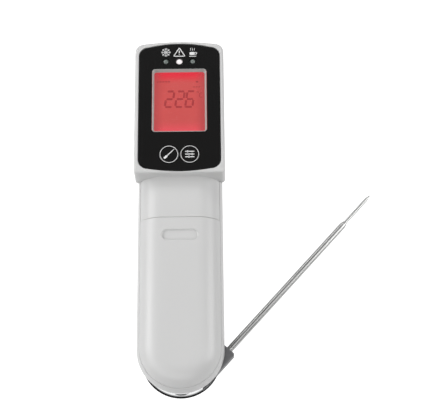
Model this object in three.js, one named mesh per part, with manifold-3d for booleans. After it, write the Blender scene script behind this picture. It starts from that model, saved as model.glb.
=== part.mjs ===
// Hand-held food thermometer: an infrared sensor in the back of the head and a steel probe that folds out
// of the bottom of the handle. Millimetres. The origin is the centre of the handle's flat back: +Y runs up
// the handle to the head, +Z comes out of the display, and +X is the side that the probe folds out of.
import * as THREE from "three";
import { mergeVertices } from "three/addons/utils/BufferGeometryUtils.js";
import Module from "manifold-3d";

// Driving dimensions

const gap = 0.3; // clearance between pieces that touch
const wall = 2; // thickness of the moulded housings

const handle = {
  halfWidth: 22.05,
  endY: -34.8, // centre of the half-round bottom end
  seamY: 31.2, // top edge of the battery cover
  chinY: 53.3, // where the head starts
  crestZ: 28.5, // front of the handle
  partingZ: 21.35, // where the front pieces meet the rear housing
  rimZ: 15.4, // the rear housing steps in below this rim
  step: 2, // how far it steps in
  edgeIn: 13, // front edge rounding across the handle
  edgeUp: 13, // and along Z
  backRound: 8,
};

const head = {
  halfWidth: 23.45,
  topY: 127.2, // the top edge at its corners
  arch: 1.2, // rise of the top edge at its middle
  topCorner: 5,
  footCorner: 1.6,
  faceZ: 34.5, // the rim round the face plate
  frontRound: 1.2,
  backStep: 1.7, // the back of the head is this much smaller all round
  bandZ: 19.3, // below a band at the parting plane
  backCorner: 3,
  backRound: 2,
};

const plate = {
  halfWidth: 21.2,
  lowY: 55.6,
  highY: 124.75,
  lowArch: 1.4,
  highArch: 2,
  corner: 5,
  topZ: 34.3,
  thick: 1.5,
};

const deck = { topZ: plate.topZ - plate.thick - gap, thick: 1.8 }; // the wall under the face plate

const lcd = {
  centreY: 94.15,
  frameHalfWidth: 14.25,
  frameHalfLength: 18.05,
  frameCorner: 1.6,
  slopeIn: 0.9,
  bezelLowZ: 32.1,
  windowLowZ: 31,
  windowThick: 0.8,
  glassLowZ: 29.6,
  glassThick: 1.1,
  glassHalfWidth: 15,
  glassLowY: 75,
  glassHighY: 114,
  lightHighY: 111.6,
  lightLowZ: 27,
  lightThick: 2.3,
};

const key = { x: 5.35, y: 63.3, radius: 4.9, holeRadius: 5.15, stemRadius: 2.5, topZ: 34.5, thick: 1.5 };
const lamp = { pitch: 7.1, y: 116.6, radius: 1.45, flangeRadius: 1.9, topZ: 34.6 };

const mainBoard = {
  halfWidth: 20.3,
  lowY: 57,
  highY: 125.3,
  shoulderY: 112,
  neckHalfWidth: 13.4,
  lowZ: 25.1,
  thick: 1.6,
};
const sensorBoard = {
  leftX: -18,
  lowRightX: 10.1, // beside the folded probe
  highRightX: 18,
  lowY: 57.5,
  stepY: 86,
  highY: 114.5,
  lowZ: 13.5,
  thick: 1.6,
};

const snout = { y: 104, halfLength: 18, radius: 13, tipZ: -10.5, lampX: 13.2 };
const barrel = { radius: 8.5, boreRadius: 6.8, throatRadius: 3.2, tipZ: -10.2, topZ: 4.4 };
const trigger = {
  y: 66,
  halfWidth: 10.2,
  halfLength: 9,
  outZ: -3.6,
  flangeLowZ: 2.8,
  flangeThick: 1.8,
  flangeGrow: 0.8, // how far the flange reaches past the button
  ribY: 61.5,
  springY: 70,
};

const cell = { radius: 5.25, length: 44.5, nub: 1.2, nubRadius: 1.9, leftX: -7, rightX: 4.5, z: 18.3 };
const tray = {
  lowY: -28.6,
  highY: 22.6,
  leftX: -13.6,
  rightX: 10.9,
  floorZ: 11.4,
  topZ: 20.9,
  lipThick: 1.5,
  lipGap: 1.7, // from the handle's wall
};

const thumbRecess = { y: 21.8, halfLength: 9.4, radius: 3, depth: 0.9 };
const coverTongue = {
  halfWidth: 7,
  lowY: 26,
  rootY: 30.4,
  highY: 33.4,
  lowZ: 24.7,
  rootZ: 26.7,
  highZ: 26.1,
};

const pivot = { x: 15.6, y: -43.6, pinRadius: 1, bossRadius: 2.2, washerRadius: 3.2 };
const slot = { lowZ: 7.1, highZ: 15.4, innerX: 12.5, mouthX: 11.2, mouthY: -30.2, topY: 83, liner: 1.2 };
const probe = {
  outDeg: 42.5, // how far the probe stands out from its folded place along the handle
  hubRadius: 4.05,
  hubEnd: 12.9,
  hubLowZ: 7.4,
  hubThick: 6.8,
  shaftRadius: 1.75,
  shaftStart: 5.5,
  shaftEnd: 104.35,
  tipRadius: 0.95,
  tipEnd: 124.75,
  tipPoint: 3,
};

const trim = { centreY: -36.8, radius: 20.2, innerRadius: 18.3, lowZ: 1.4, round: 2.2, topY: -42 };

const screw = {
  headRadius: 2.7,
  headLowZ: 1.7,
  headThick: 2,
  shankRadius: 1.25,
  postRadius: 3,
  tipCover: 2.5,
};
const screwPlaces = [
  { x: -17.4, y: 119.3, tipZ: 28.2 },
  { x: 17.4, y: 119.3, tipZ: 28.2 },
  { x: -8.5, y: 44.5, tipZ: 25.6 },
  { x: 8.5, y: 44.5, tipZ: 25.6 },
];

// Outlines and solids

const wasm = await Module();
wasm.setup();

const turn = (degrees) => THREE.MathUtils.degToRad(degrees);
const outlineOf = (pairs) => pairs.map(([x, y]) => new THREE.Vector2(x, y));

function arc(x, y, radius, fromDeg, toDeg, steps) {
  return Array.from({ length: steps + 1 }, (_, i) => {
    const angle = turn(fromDeg + ((toDeg - fromDeg) * i) / steps);
    return new THREE.Vector2(x + radius * Math.cos(angle), y + radius * Math.sin(angle));
  });
}

// An edge between two corners that rises by arch at its middle, without its end points
function archedEdge(from, to, arch, steps) {
  if (!arch) return [];
  const middle = new THREE.Vector2((from.x + to.x) / 2, (from.y + to.y) / 2 + 2 * arch);
  return new THREE.QuadraticBezierCurve(from, middle, to).getPoints(steps).slice(1, -1);
}

function roundedBox({ halfWidth, lowY, highY, lowCorner, highCorner, lowArch = 0, highArch = 0 }) {
  const steps = 4;
  const low = [
    ...arc(lowCorner - halfWidth, lowY + lowCorner, lowCorner, 180, 270, steps),
    ...arc(halfWidth - lowCorner, lowY + lowCorner, lowCorner, 270, 360, steps),
  ];
  const high = [
    ...arc(halfWidth - highCorner, highY - highCorner, highCorner, 0, 90, steps),
    ...arc(highCorner - halfWidth, highY - highCorner, highCorner, 90, 180, steps),
  ];
  low.splice(steps + 1, 0, ...archedEdge(low[steps], low[steps + 1], -lowArch, 8));
  high.splice(steps + 1, 0, ...archedEdge(high[steps], high[steps + 1], highArch, 8));
  return [...low, ...high];
}

function handleOutline(inset, topY, steps = 18) {
  const halfWidth = handle.halfWidth - inset;
  return [
    ...arc(0, handle.endY, halfWidth, 180, 360, steps),
    new THREE.Vector2(halfWidth, topY),
    new THREE.Vector2(-halfWidth, topY),
  ];
}

function headOutline(inset, leastCorner = 1) {
  return roundedBox({
    halfWidth: head.halfWidth - inset,
    lowY: handle.chinY + inset,
    highY: head.topY - inset,
    lowCorner: Math.max(head.footCorner - inset, leastCorner),
    highCorner: Math.max(head.topCorner - inset, leastCorner),
    highArch: head.arch,
  });
}

function obround(x, y, halfLength, radius, steps = 8) {
  const reach = halfLength - radius;
  return [...arc(x + reach, y, radius, -90, 90, steps), ...arc(x - reach, y, radius, 90, 270, steps)];
}

function toSolid(geometry) {
  const bare = geometry.clone();
  bare.deleteAttribute("normal");
  bare.deleteAttribute("uv");
  const merged = mergeVertices(bare, 1e-4);
  const vertProperties = merged.attributes.position.array;
  const triVerts = new Uint32Array(merged.index.array);
  return new wasm.Manifold(new wasm.Mesh({ numProp: 3, vertProperties, triVerts }));
}

function toGeometry(solid) {
  const mesh = solid.getMesh();
  const geometry = new THREE.BufferGeometry();
  geometry.setAttribute("position", new THREE.BufferAttribute(mesh.vertProperties, 3));
  geometry.setIndex(new THREE.BufferAttribute(mesh.triVerts, 1));
  geometry.computeVertexNormals();
  return geometry;
}

const join = (first, ...others) => others.reduce((solid, other) => solid.add(other), first);
const cut = (first, ...others) => others.reduce((solid, other) => solid.subtract(other), first);
const common = (first, ...others) => others.reduce((solid, other) => solid.intersect(other), first);

// An outline raised from lowZ to highZ, both of its edges rounded by roundIn across and roundUp along Z
function slab(outline, lowZ, highZ, roundIn = 0, roundUp = roundIn, roundSteps = 3) {
  const geometry = new THREE.ExtrudeGeometry(new THREE.Shape(outline), {
    depth: highZ - lowZ - 2 * roundUp,
    bevelEnabled: roundIn > 0,
    bevelSize: roundIn,
    bevelOffset: -roundIn,
    bevelThickness: roundUp,
    bevelSegments: roundSteps,
  });
  geometry.translate(0, 0, lowZ + roundUp);
  return toSolid(geometry);
}

function block(lowX, highX, lowY, highY, lowZ, highZ) {
  const geometry = new THREE.BoxGeometry(highX - lowX, highY - lowY, highZ - lowZ);
  geometry.translate((lowX + highX) / 2, (lowY + highY) / 2, (lowZ + highZ) / 2);
  return toSolid(geometry);
}

function rod(x, y, lowZ, highZ, radius, sides = 16) {
  const geometry = new THREE.CylinderGeometry(radius, radius, highZ - lowZ, sides);
  geometry.rotateX(turn(90));
  geometry.translate(x, y, (lowZ + highZ) / 2);
  return toSolid(geometry);
}

// A rod along Y
function bar(x, lowY, highY, z, radius, sides = 16) {
  const geometry = new THREE.CylinderGeometry(radius, radius, highY - lowY, sides);
  geometry.translate(x, (lowY + highY) / 2, z);
  return toSolid(geometry);
}

// A turned piece: its profile is [radius, height] pairs from foot to top, about an axis through (x, y)
function turned(x, y, profile, sides = 16) {
  const geometry = new THREE.LatheGeometry(outlineOf(profile), sides);
  geometry.rotateX(turn(90));
  geometry.translate(x, y, 0);
  return toSolid(geometry);
}

function wire(points, radius, sides, steps) {
  const path = new THREE.CatmullRomCurve3(points.map(([x, y, z]) => new THREE.Vector3(x, y, z)));
  const section = new THREE.Shape(arc(0, 0, radius, 0, 360 - 360 / sides, sides - 1));
  return new THREE.ExtrudeGeometry(section, { extrudePath: path, steps, bevelEnabled: false });
}

const lead = (points, steps) => toSolid(wire(points, 0.6, 6, steps));

// A coil about Z that starts at lowZ, with the radius going from lowRadius to highRadius
function coil(x, y, lowZ, highZ, lowRadius, highRadius, turns, wireRadius, stepsPerTurn = 10) {
  const count = turns * stepsPerTurn;
  const points = Array.from({ length: count + 1 }, (_, i) => {
    const share = i / count;
    const radius = THREE.MathUtils.lerp(lowRadius, highRadius, share);
    const angle = share * turns * 2 * Math.PI;
    return [
      x + radius * Math.cos(angle),
      y + radius * Math.sin(angle),
      THREE.MathUtils.lerp(lowZ + wireRadius, highZ - wireRadius, share),
    ];
  });
  return wire(points, wireRadius, 6, count);
}

const far = 200; // longer than any piece, for half-space cuts
const above = (z) => block(-far, far, -far, far, z, far);
const below = (z) => block(-far, far, -far, far, -far, z);
const between = (lowY, highY) => block(-far, far, lowY, highY, -far, far);

// Casing

// The handle drawn in by inset, up to its crest
const crestedSlab = (inset, topY) =>
  slab(handleOutline(inset, topY), 0, handle.crestZ, handle.edgeIn, handle.edgeUp, 7);

const handleRoom = (topY) =>
  slab(handleOutline(wall, topY), 0, handle.crestZ - wall, handle.edgeIn - 1, handle.edgeUp - 1, 7);

function frontHousing() {
  const headBlock = slab(headOutline(0), handle.partingZ - 4, head.faceZ, head.frontRound);
  const collar = crestedSlab(0.2, handle.chinY + 30);
  const neck = common(collar, between(handle.seamY + gap / 2, handle.chinY + wall));
  const outside = common(join(headBlock, neck), above(handle.partingZ + gap / 2));

  const room = slab(headOutline(wall + 0.2), 10, deck.topZ - deck.thick);
  const neckSpan = between(handle.seamY - 5, handle.chinY + wall + 1);
  const neckRoom = common(handleRoom(handle.chinY + 30), neckSpan);
  const posts = screwPlaces.map(({ x, y, tipZ }) =>
    rod(x, y, handle.partingZ + gap / 2, tipZ + screw.tipCover, screw.postRadius, 12),
  );
  const postHoles = screwPlaces.map(({ x, y, tipZ }) =>
    rod(x, y, 0, tipZ + gap, screw.shankRadius + gap, 12),
  );
  const plateSeat = slab(plateOutline(-gap), deck.topZ, head.faceZ + 5);
  const { frameHalfWidth, frameHalfLength, frameCorner, centreY } = lcd;
  const window = slab(
    roundedBox({
      halfWidth: frameHalfWidth + gap,
      lowY: centreY - frameHalfLength - gap,
      highY: centreY + frameHalfLength + gap,
      lowCorner: frameCorner,
      highCorner: frameCorner,
    }),
    deck.topZ - 5,
    head.faceZ + 5,
  );
  const shell = join(cut(outside, room, neckRoom, plateSeat), ...posts);
  return cut(shell, window, ...postHoles, ...keyHoles(key.stemRadius + gap), ...lampHoles());
}

function plateOutline(inset) {
  return roundedBox({
    halfWidth: plate.halfWidth - inset,
    lowY: plate.lowY + inset,
    highY: plate.highY - inset,
    lowCorner: plate.corner - inset,
    highCorner: plate.corner - inset,
    lowArch: plate.lowArch,
    highArch: plate.highArch,
  });
}

const keyHoles = (radius) => [-1, 1].map((side) => rod(side * key.x, key.y, 0, 60, radius));
const lampHoles = () => [-1, 0, 1].map((i) => rod(i * lamp.pitch, lamp.y, 0, 60, lamp.radius + gap, 12));

function batteryCover() {
  const shell = cut(crestedSlab(0, handle.seamY + 30), handleRoom(handle.seamY + 30));
  const half = common(shell, above(handle.partingZ + gap / 2), between(-far, handle.seamY - gap / 2));
  const { y, halfLength, radius, depth } = thumbRecess;
  const { crestZ } = handle;
  const recess = slab(obround(0, y, halfLength, radius, 6), crestZ - depth, crestZ + 5, 0.6);
  const { halfWidth, lowY, rootY, highY, lowZ, rootZ, highZ } = coverTongue;
  const root = block(-halfWidth, halfWidth, lowY, rootY, lowZ, rootZ);
  const tongue = block(-halfWidth, halfWidth, lowY, highY, lowZ, highZ);
  return cut(join(half, root, tongue), recess);
}

function rearHousing() {
  const rim = common(
    crestedSlab(0, 60),
    above(handle.rimZ),
    below(handle.partingZ - gap / 2),
    between(-far, handle.chinY + wall),
  );
  const tub = common(
    slab(handleOutline(handle.step, 90), 0, 40, handle.backRound, handle.backRound, 4),
    below(handle.rimZ + 1),
    between(-far, 60),
  );
  const headBack = common(
    join(
      slab(headOutline(head.backStep, head.backCorner), 0, 50, head.backRound, head.backRound, 4),
      slab(headOutline(0), head.bandZ, 50),
    ),
    below(handle.partingZ - gap / 2),
  );
  const nose = slab(obround(0, snout.y, snout.halfLength, snout.radius), snout.tipZ, 6, 1.4);
  const outside = join(rim, tub, headBack, nose);

  const rimRoom = common(slab(handleOutline(wall + 1.3, 60), 0, 40), above(handle.rimZ + 2));
  const tubRoom = common(slab(handleOutline(handle.step + 3, 90), wall, 40, 6, 6, 3), between(-far, 60));
  const headRoom = slab(headOutline(head.backStep + wall), wall + 0.2, 50);
  const noseOutline = obround(0, snout.y, snout.halfLength - wall, snout.radius - wall);
  const noseRoom = slab(noseOutline, snout.tipZ + wall, 12);
  const shell = cut(outside, rimRoom, tubRoom, headRoom, noseRoom);

  // A channel for the folded probe, walled off from the inside
  const { liner, innerX, mouthX, mouthY, topY, lowZ, highZ } = slot;
  const channelLowZ = lowZ - liner;
  const channelHighZ = highZ + liner;
  const channel = block(innerX - liner, far, -far, topY + liner, channelLowZ, channelHighZ);
  const mouthLiner = block(mouthX - liner, innerX + liner, -far, mouthY + liner, channelLowZ, channelHighZ);
  const posts = screwPlaces.map(({ x, y }) => rod(x, y, 0.8, handle.partingZ - gap / 2, 3.4, 12));
  const upperBoss = rod(pivot.x, pivot.y, highZ, highZ + 3.6, pivot.bossRadius + 0.6);
  const inner = common(join(channel, mouthLiner, upperBoss, ...posts), outside);

  const trimSeat = cut(
    common(between(-far, trim.topY + gap), block(-far, far, -far, far, -1, handle.rimZ)),
    rod(0, trim.centreY, -2, 30, trim.innerRadius - gap, 48),
  );
  const lowerBoss = rod(pivot.x, pivot.y, 3.6, lowZ, pivot.bossRadius);
  const pinHole = rod(pivot.x, pivot.y, 4.4, highZ + 3, pivot.pinRadius + gap, 12);
  const slotCut = join(
    block(innerX, far, -far, topY, lowZ, highZ),
    block(mouthX, far, -far, mouthY, lowZ, highZ),
  );
  const headHoles = screwPlaces.flatMap(({ x, y }) => [
    rod(x, y, -1, screw.headLowZ + screw.headThick + gap, screw.headRadius + gap),
    rod(x, y, 0, 40, screw.shankRadius + gap, 12),
  ]);
  const triggerHole = slab(triggerOutline(-gap), -5, 5);
  const eyeHoles = [
    rod(0, snout.y, -far, 0, barrel.radius + gap, 24),
    ...[-1, 1].map((side) => rod(side * snout.lampX, snout.y, -far, 0, lamp.radius + gap, 12)),
  ];
  const walled = join(cut(join(shell, inner), trimSeat), lowerBoss);
  return cut(walled, slotCut, pinHole, triggerHole, ...headHoles, ...eyeHoles);
}

// A bright band that wraps the bottom end, notched where the probe comes out
function chromeEndTrim() {
  const kept = common(
    slab(arc(0, trim.centreY, trim.radius, 0, 352.5, 47), trim.lowZ, 40, trim.round),
    below(handle.rimZ - gap),
    between(-far, trim.topY),
  );
  const tubOutline = handleOutline(handle.step - gap, 90);
  const tubRoom = slab(tubOutline, -gap, 40, handle.backRound, handle.backRound, 4);
  const filled = common(tubRoom, rod(0, trim.centreY, -2, 30, trim.innerRadius, 48));
  const notch = block(slot.mouthX - gap, far, -far, far, slot.lowZ - gap, far);
  return cut(kept, filled, notch, rod(pivot.x, pivot.y, -far, far, pivot.bossRadius + gap));
}

function triggerOutline(inset) {
  return roundedBox({
    halfWidth: trigger.halfWidth - inset,
    lowY: trigger.y - trigger.halfLength + inset,
    highY: trigger.y + trigger.halfLength - inset,
    lowCorner: 3.5 - inset,
    highCorner: 3.5 - inset,
  });
}

const facePlate = () =>
  cut(
    slab(plateOutline(0), plate.topZ - plate.thick, plate.topZ, 0.3),
    slab(frameOutline(-0.2), 0, 60),
    ...keyHoles(key.holeRadius),
    ...lampHoles(),
  );

// Display, keys and lamps

function frameOutline(inset) {
  return roundedBox({
    halfWidth: lcd.frameHalfWidth - inset,
    lowY: lcd.centreY - lcd.frameHalfLength + inset,
    highY: lcd.centreY + lcd.frameHalfLength - inset,
    lowCorner: lcd.frameCorner - Math.max(inset, 0) / 2,
    highCorner: lcd.frameCorner - Math.max(inset, 0) / 2,
  });
}

// The frame's inner walls lean in towards the glass
function lcdBezel() {
  const topZ = plate.topZ - 0.1;
  const depth = topZ - lcd.bezelLowZ;
  const lowZ = lcd.bezelLowZ;
  const funnel = slab(frameOutline(0.3), lowZ - gap / 2, lowZ + 3 * depth, lcd.slopeIn, depth, 1);
  return cut(slab(frameOutline(0), lowZ, topZ), funnel);
}

const lcdWindow = () => slab(frameOutline(0), lcd.windowLowZ, lcd.windowLowZ + lcd.windowThick, 0.15);

function lcdGlass() {
  const { glassHalfWidth, glassLowY, glassHighY, glassLowZ, glassThick } = lcd;
  return block(-glassHalfWidth, glassHalfWidth, glassLowY, glassHighY, glassLowZ, glassLowZ + glassThick);
}

function lcdBacklight() {
  const { glassHalfWidth, glassLowY, lightHighY, lightLowZ, lightThick } = lcd;
  return block(-glassHalfWidth, glassHalfWidth, glassLowY, lightHighY, lightLowZ, lightLowZ + lightThick);
}

const zebraStrip = () =>
  block(-12, 12, lcd.glassHighY - 2, lcd.glassHighY - 0.4, lcd.lightLowZ, lcd.glassLowZ - gap);

const keyCap = (side) => {
  const stemLowZ = lcd.lightLowZ + 2.9;
  const capLowZ = key.topZ - key.thick;
  return turned(side * key.x, key.y, [
    [0, stemLowZ],
    [key.stemRadius, stemLowZ],
    [key.stemRadius, capLowZ],
    [key.radius, capLowZ],
    [key.radius, key.topZ - 0.25],
    [key.radius - 0.25, key.topZ],
    [0, key.topZ],
  ], 24);
};

const boardSwitch = (x, y, lowZ, height) => block(x - 3, x + 3, y - 3, y + 3, lowZ, lowZ + height);

// A 3 mm lamp with a domed end; up is 1 or -1, the way it shines along Z
function lampBody(x, y, footZ, flangeZ, tipZ, up = 1) {
  const { radius, flangeRadius } = lamp;
  const shoulder = tipZ - up * radius;
  const dome = [0, 30, 60].map((angle) => [
    radius * Math.cos(turn(angle)),
    shoulder + up * radius * Math.sin(turn(angle)),
  ]);
  const foot = [[0, footZ], [flangeRadius, footZ], [flangeRadius, flangeZ], [radius, flangeZ]];
  const profile = [...foot, ...dome, [0, tipZ]];
  return turned(x, y, up > 0 ? profile : profile.reverse(), 12);
}

// Boards


function mainBoardSolid() {
  const { halfWidth, lowY, highY, shoulderY, neckHalfWidth, lowZ, thick } = mainBoard;
  const half = [
    [halfWidth, lowY], [halfWidth, shoulderY],
    [neckHalfWidth, shoulderY], [neckHalfWidth, highY],
  ];
  const outline = [...half, ...half.map(([x, y]) => [-x, y]).reverse()];
  return slab(outlineOf(outline), lowZ, lowZ + thick);
}

function sensorBoardSolid() {
  const { leftX, lowRightX, highRightX, lowY, stepY, highY, lowZ, thick } = sensorBoard;
  const outline = [
    [leftX, lowY], [lowRightX, lowY], [lowRightX, stepY],
    [highRightX, stepY], [highRightX, highY], [leftX, highY],
  ];
  return slab(outlineOf(outline), lowZ, lowZ + thick);
}

// Infrared eye

const irBarrel = () =>
  turned(0, snout.y, [
    [barrel.boreRadius + 0.4, barrel.tipZ],
    [barrel.radius, barrel.tipZ],
    [barrel.radius, barrel.topZ],
    [barrel.throatRadius, barrel.topZ],
    [barrel.throatRadius, barrel.topZ - 1],
    [barrel.boreRadius, barrel.topZ - 8],
    [barrel.boreRadius, barrel.tipZ + 1],
    [barrel.boreRadius + 0.4, barrel.tipZ],
  ], 24);

const irLens = () => {
  const lowZ = barrel.tipZ + 2.6;
  const radius = barrel.boreRadius - gap;
  return turned(0, snout.y, [[0, lowZ], [radius, lowZ + 0.3], [radius, lowZ + 1], [0, lowZ + 1.3]], 20);
};

const irSensor = () => {
  const canZ = barrel.topZ + gap;
  return turned(0, snout.y, [
    [0, canZ], [4.1, canZ], [4.1, canZ + 3.2], [4.6, canZ + 3.2], [4.6, canZ + 3.8],
    [1.4, canZ + 3.8], [1.4, sensorBoard.lowZ - gap], [0, sensorBoard.lowZ - gap],
  ], 16);
};

// Trigger

function triggerSolid() {
  const { y, outZ, flangeLowZ, flangeThick, flangeGrow, ribY } = trigger;
  const flangeTopZ = flangeLowZ + flangeThick;
  const button = slab(triggerOutline(0), outZ, flangeTopZ, 1.6);
  const fingerHollow = bar(0, y - 20, y + 20, outZ - 16.6, 18, 48);
  const flange = slab(triggerOutline(-flangeGrow), flangeLowZ, flangeTopZ);
  const squared = slab(triggerOutline(0), 0, flangeTopZ);
  const rib = block(-1.5, 1.5, ribY - 1.5, ribY + 1.5, flangeTopZ - 0.5, flangeTopZ + 1.6);
  return join(cut(button, fingerHollow), squared, flange, rib);
}

function triggerSpring() {
  const seatZ = trigger.flangeLowZ + trigger.flangeThick + gap;
  return toSolid(coil(0, trigger.springY, seatZ, sensorBoard.lowZ - gap, 2.8, 2.8, 5, 0.3, 8));
}

// Battery compartment

function batteryTray() {
  const { lowY, highY, leftX, rightX, floorZ, topZ, lipThick, lipGap } = tray;
  const lip = common(
    slab(handleOutline(wall + lipGap, handle.seamY - 1), topZ - lipThick, topZ),
    between(-far, handle.seamY - 1),
  );
  const box = block(leftX, rightX, lowY, highY, floorZ, topZ);
  const troughs = [cell.leftX, cell.rightX].map((x) =>
    join(
      bar(x, lowY + 1.2, highY - 1.2, cell.z, cell.radius + gap, 20),
      block(x - cell.radius - gap, x + cell.radius + gap, lowY + 1.2, highY - 1.2, cell.z, far),
    ),
  );
  return cut(join(lip, box), ...troughs);
}

// One cell along Y, with its raised end towards plusSide (1 or -1)
function cellBody(x, plusSide) {
  const flatY = tray.lowY + 4.4;
  const { radius, length, nub, nubRadius } = cell;
  const profile = [
    [0, 0], [radius - 0.4, 0], [radius, 0.4],
    [radius, length - nub], [nubRadius, length - nub], [nubRadius, length], [0, length],
  ];
  const geometry = new THREE.LatheGeometry(outlineOf(profile), 20);
  if (plusSide < 0) geometry.rotateX(turn(180));
  geometry.translate(x, plusSide > 0 ? flatY : tray.highY + tray.lowY - flatY, cell.z);
  return toSolid(geometry);
}

function contactSpring(x, wallY, side) {
  const geometry = coil(0, 0, 0, 2.6, 3.6, 1.6, 3, 0.3, 8);
  geometry.rotateX(turn(side > 0 ? -90 : 90));
  geometry.translate(x, wallY, cell.z);
  return toSolid(geometry);
}

const contactPlate = (x, lowY) => block(x - 4, x + 4, lowY, lowY + 0.5, cell.z - 3.5, cell.z + 2);

function caseScrew({ x, y, tipZ }) {
  const { headRadius, headLowZ, headThick, shankRadius } = screw;
  const headTopZ = headLowZ + headThick;
  const body = turned(x, y, [
    [0, headLowZ], [headRadius - 0.6, headLowZ], [headRadius, headLowZ + 0.6], [headRadius, headTopZ],
    [shankRadius, headTopZ], [shankRadius, tipZ - 1], [0, tipZ],
  ], 12);
  const slots = [[2, 0.4], [0.4, 2]].map(([halfX, halfY]) =>
    block(x - halfX, x + halfX, y - halfY, y + halfY, 0, headLowZ + 1),
  );
  return cut(body, ...slots);
}

// Probe, drawn pointing up +Y from its pivot at the origin of its own group

const hubMidZ = probe.hubLowZ + probe.hubThick / 2;

function probeHub() {
  const { hubRadius, hubEnd, hubLowZ, hubThick } = probe;
  const outline = [
    ...arc(0, 0, hubRadius, 180, 360, 12),
    ...arc(hubRadius - 1, hubEnd - 1, 1, 0, 90, 3),
    ...arc(1 - hubRadius, hubEnd - 1, 1, 90, 180, 3),
  ];
  const body = slab(outline, hubLowZ, hubLowZ + hubThick, 0.4);
  return cut(
    body,
    rod(0, 0, 0, 40, pivot.pinRadius + gap, 12),
    bar(0, probe.shaftStart - gap, 40, hubMidZ, probe.shaftRadius + gap, 16),
  );
}

// A turned piece along +Y at the probe's height
function needle(profile, sides = 12) {
  const geometry = new THREE.LatheGeometry(outlineOf(profile), sides);
  geometry.translate(0, 0, hubMidZ);
  return toSolid(geometry);
}

function probeShaft() {
  const { shaftRadius, shaftStart, shaftEnd, tipRadius } = probe;
  const mouthRadius = tipRadius + gap;
  return needle([
    [0, shaftStart], [shaftRadius, shaftStart], [shaftRadius, shaftEnd - 1.6],
    [mouthRadius + 0.1, shaftEnd], [mouthRadius, shaftEnd], [mouthRadius, shaftEnd - 3], [0, shaftEnd - 3],
  ]);
}

function probeTip() {
  const { shaftEnd, tipRadius, tipEnd, tipPoint } = probe;
  const rootY = shaftEnd - 2.7;
  return needle([[0, rootY], [tipRadius, rootY], [tipRadius, tipEnd - tipPoint], [0, tipEnd]], 10);
}

const pivotPin = () => rod(pivot.x, pivot.y, 4.7, slot.highZ + 2.7, pivot.pinRadius, 12);

const pivotWasher = () => {
  const lowZ = probe.hubLowZ + probe.hubThick + gap;
  const highZ = slot.highZ - gap;
  const hole = rod(pivot.x, pivot.y, 0, 40, pivot.pinRadius + gap, 12);
  return cut(rod(pivot.x, pivot.y, lowZ, highZ, pivot.washerRadius), hole);
};

// Seal between the housings, round the head

function housingSeal() {
  const lowZ = handle.partingZ - gap / 2 + 0.02;
  const ring = cut(slab(headOutline(0.7), lowZ, lowZ + 0.2), slab(headOutline(1.7), 0, 60));
  return cut(ring, block(-19, 19, handle.chinY, handle.chinY + 3, 0, 60));
}

// Finishes: colour, roughness, metalness

const finishes = {
  whiteCasing: [0xe2e2e0, 0.32, 0],
  blackPlate: [0x18181a, 0.2, 0],
  greyFrame: [0x9a9c98, 0.5, 0],
  clear: [0xf2f4f4, 0.05, 0],
  redGlass: [0xd0404a, 0.15, 0],
  redLight: [0xff5a5a, 0.5, 0],
  rubber: [0x2a2a2a, 0.9, 0],
  lampOff: [0x6c766e, 0.25, 0],
  lampOn: [0xfff0f2, 0.25, 0],
  greenBoard: [0x1d5a34, 0.5, 0],
  blackChip: [0x202022, 0.6, 0],
  steel: [0xb4b6b8, 0.35, 1],
  chrome: [0xe6e8ea, 0.06, 1],
  hubPlastic: [0x4a4a4c, 0.5, 0],
  lensPlastic: [0x8a8f94, 0.4, 0],
  greyTrigger: [0x55585c, 0.6, 0],
  trayPlastic: [0xcfcfcc, 0.6, 0],
  cellWrap: [0x2f5f8f, 0.4, 0],
  brassPin: [0xb89a58, 0.35, 1],
  redWire: [0xb02020, 0.6, 0],
  blackWire: [0x1c1c1c, 0.6, 0],
  greyWire: [0x8c8c8c, 0.6, 0],
};

function piece(name, solid, finish, parent) {
  const [color, roughness, metalness] = finishes[finish];
  const material = new THREE.MeshStandardMaterial({ color, roughness, metalness });
  const mesh = new THREE.Mesh(toGeometry(solid), material);
  mesh.name = name;
  parent.add(mesh);
}

const thermometer = new THREE.Group();
const casing = new THREE.Group();
const display = new THREE.Group();
const eye = new THREE.Group();
const power = new THREE.Group();
const foldingProbe = new THREE.Group();
thermometer.add(casing, display, eye, power, foldingProbe);

piece("front_housing", frontHousing(), "whiteCasing", casing);
piece("rear_housing", rearHousing(), "whiteCasing", casing);
piece("battery_cover", batteryCover(), "whiteCasing", casing);
piece("chrome_end_trim", chromeEndTrim(), "chrome", casing);
piece("housing_seal", housingSeal(), "rubber", casing);
screwPlaces.forEach((place, i) => piece(`case_screw_${i + 1}`, caseScrew(place), "steel", casing));

piece("face_plate", facePlate(), "blackPlate", display);
piece("lcd_bezel", lcdBezel(), "greyFrame", display);
piece("lcd_window", lcdWindow(), "clear", display);
piece("lcd_glass", lcdGlass(), "redGlass", display);
piece("lcd_backlight", lcdBacklight(), "redLight", display);
piece("zebra_strip", zebraStrip(), "rubber", display);
piece("main_board", mainBoardSolid(), "greenBoard", display);
const boardTopZ = mainBoard.lowZ + mainBoard.thick + gap;
[["probe", -1], ["mode", 1]].forEach(([name, side]) => {
  piece(`${name}_key`, keyCap(side), "blackPlate", display);
  piece(`${name}_switch`, boardSwitch(side * key.x, key.y, boardTopZ, 2.3), "blackChip", display);
});
[["cold", "lampOff"], ["warning", "lampOn"], ["hot", "lampOff"]].forEach(([name, finish], i) => {
  const lens = lampBody((i - 1) * lamp.pitch, lamp.y, boardTopZ, boardTopZ + 2.6, lamp.topZ);
  piece(`${name}_led`, lens, finish, display);
});
const underBoardZ = mainBoard.lowZ - gap;
piece("controller_chip", block(-1, 9, 84, 94, underBoardZ - 1.4, underBoardZ), "blackChip", display);
piece("buzzer", rod(-9, 70, underBoardZ - 3.6, underBoardZ, 6, 20), "blackChip", display);
const sensorTopZ = sensorBoard.lowZ + sensorBoard.thick + gap;
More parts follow.
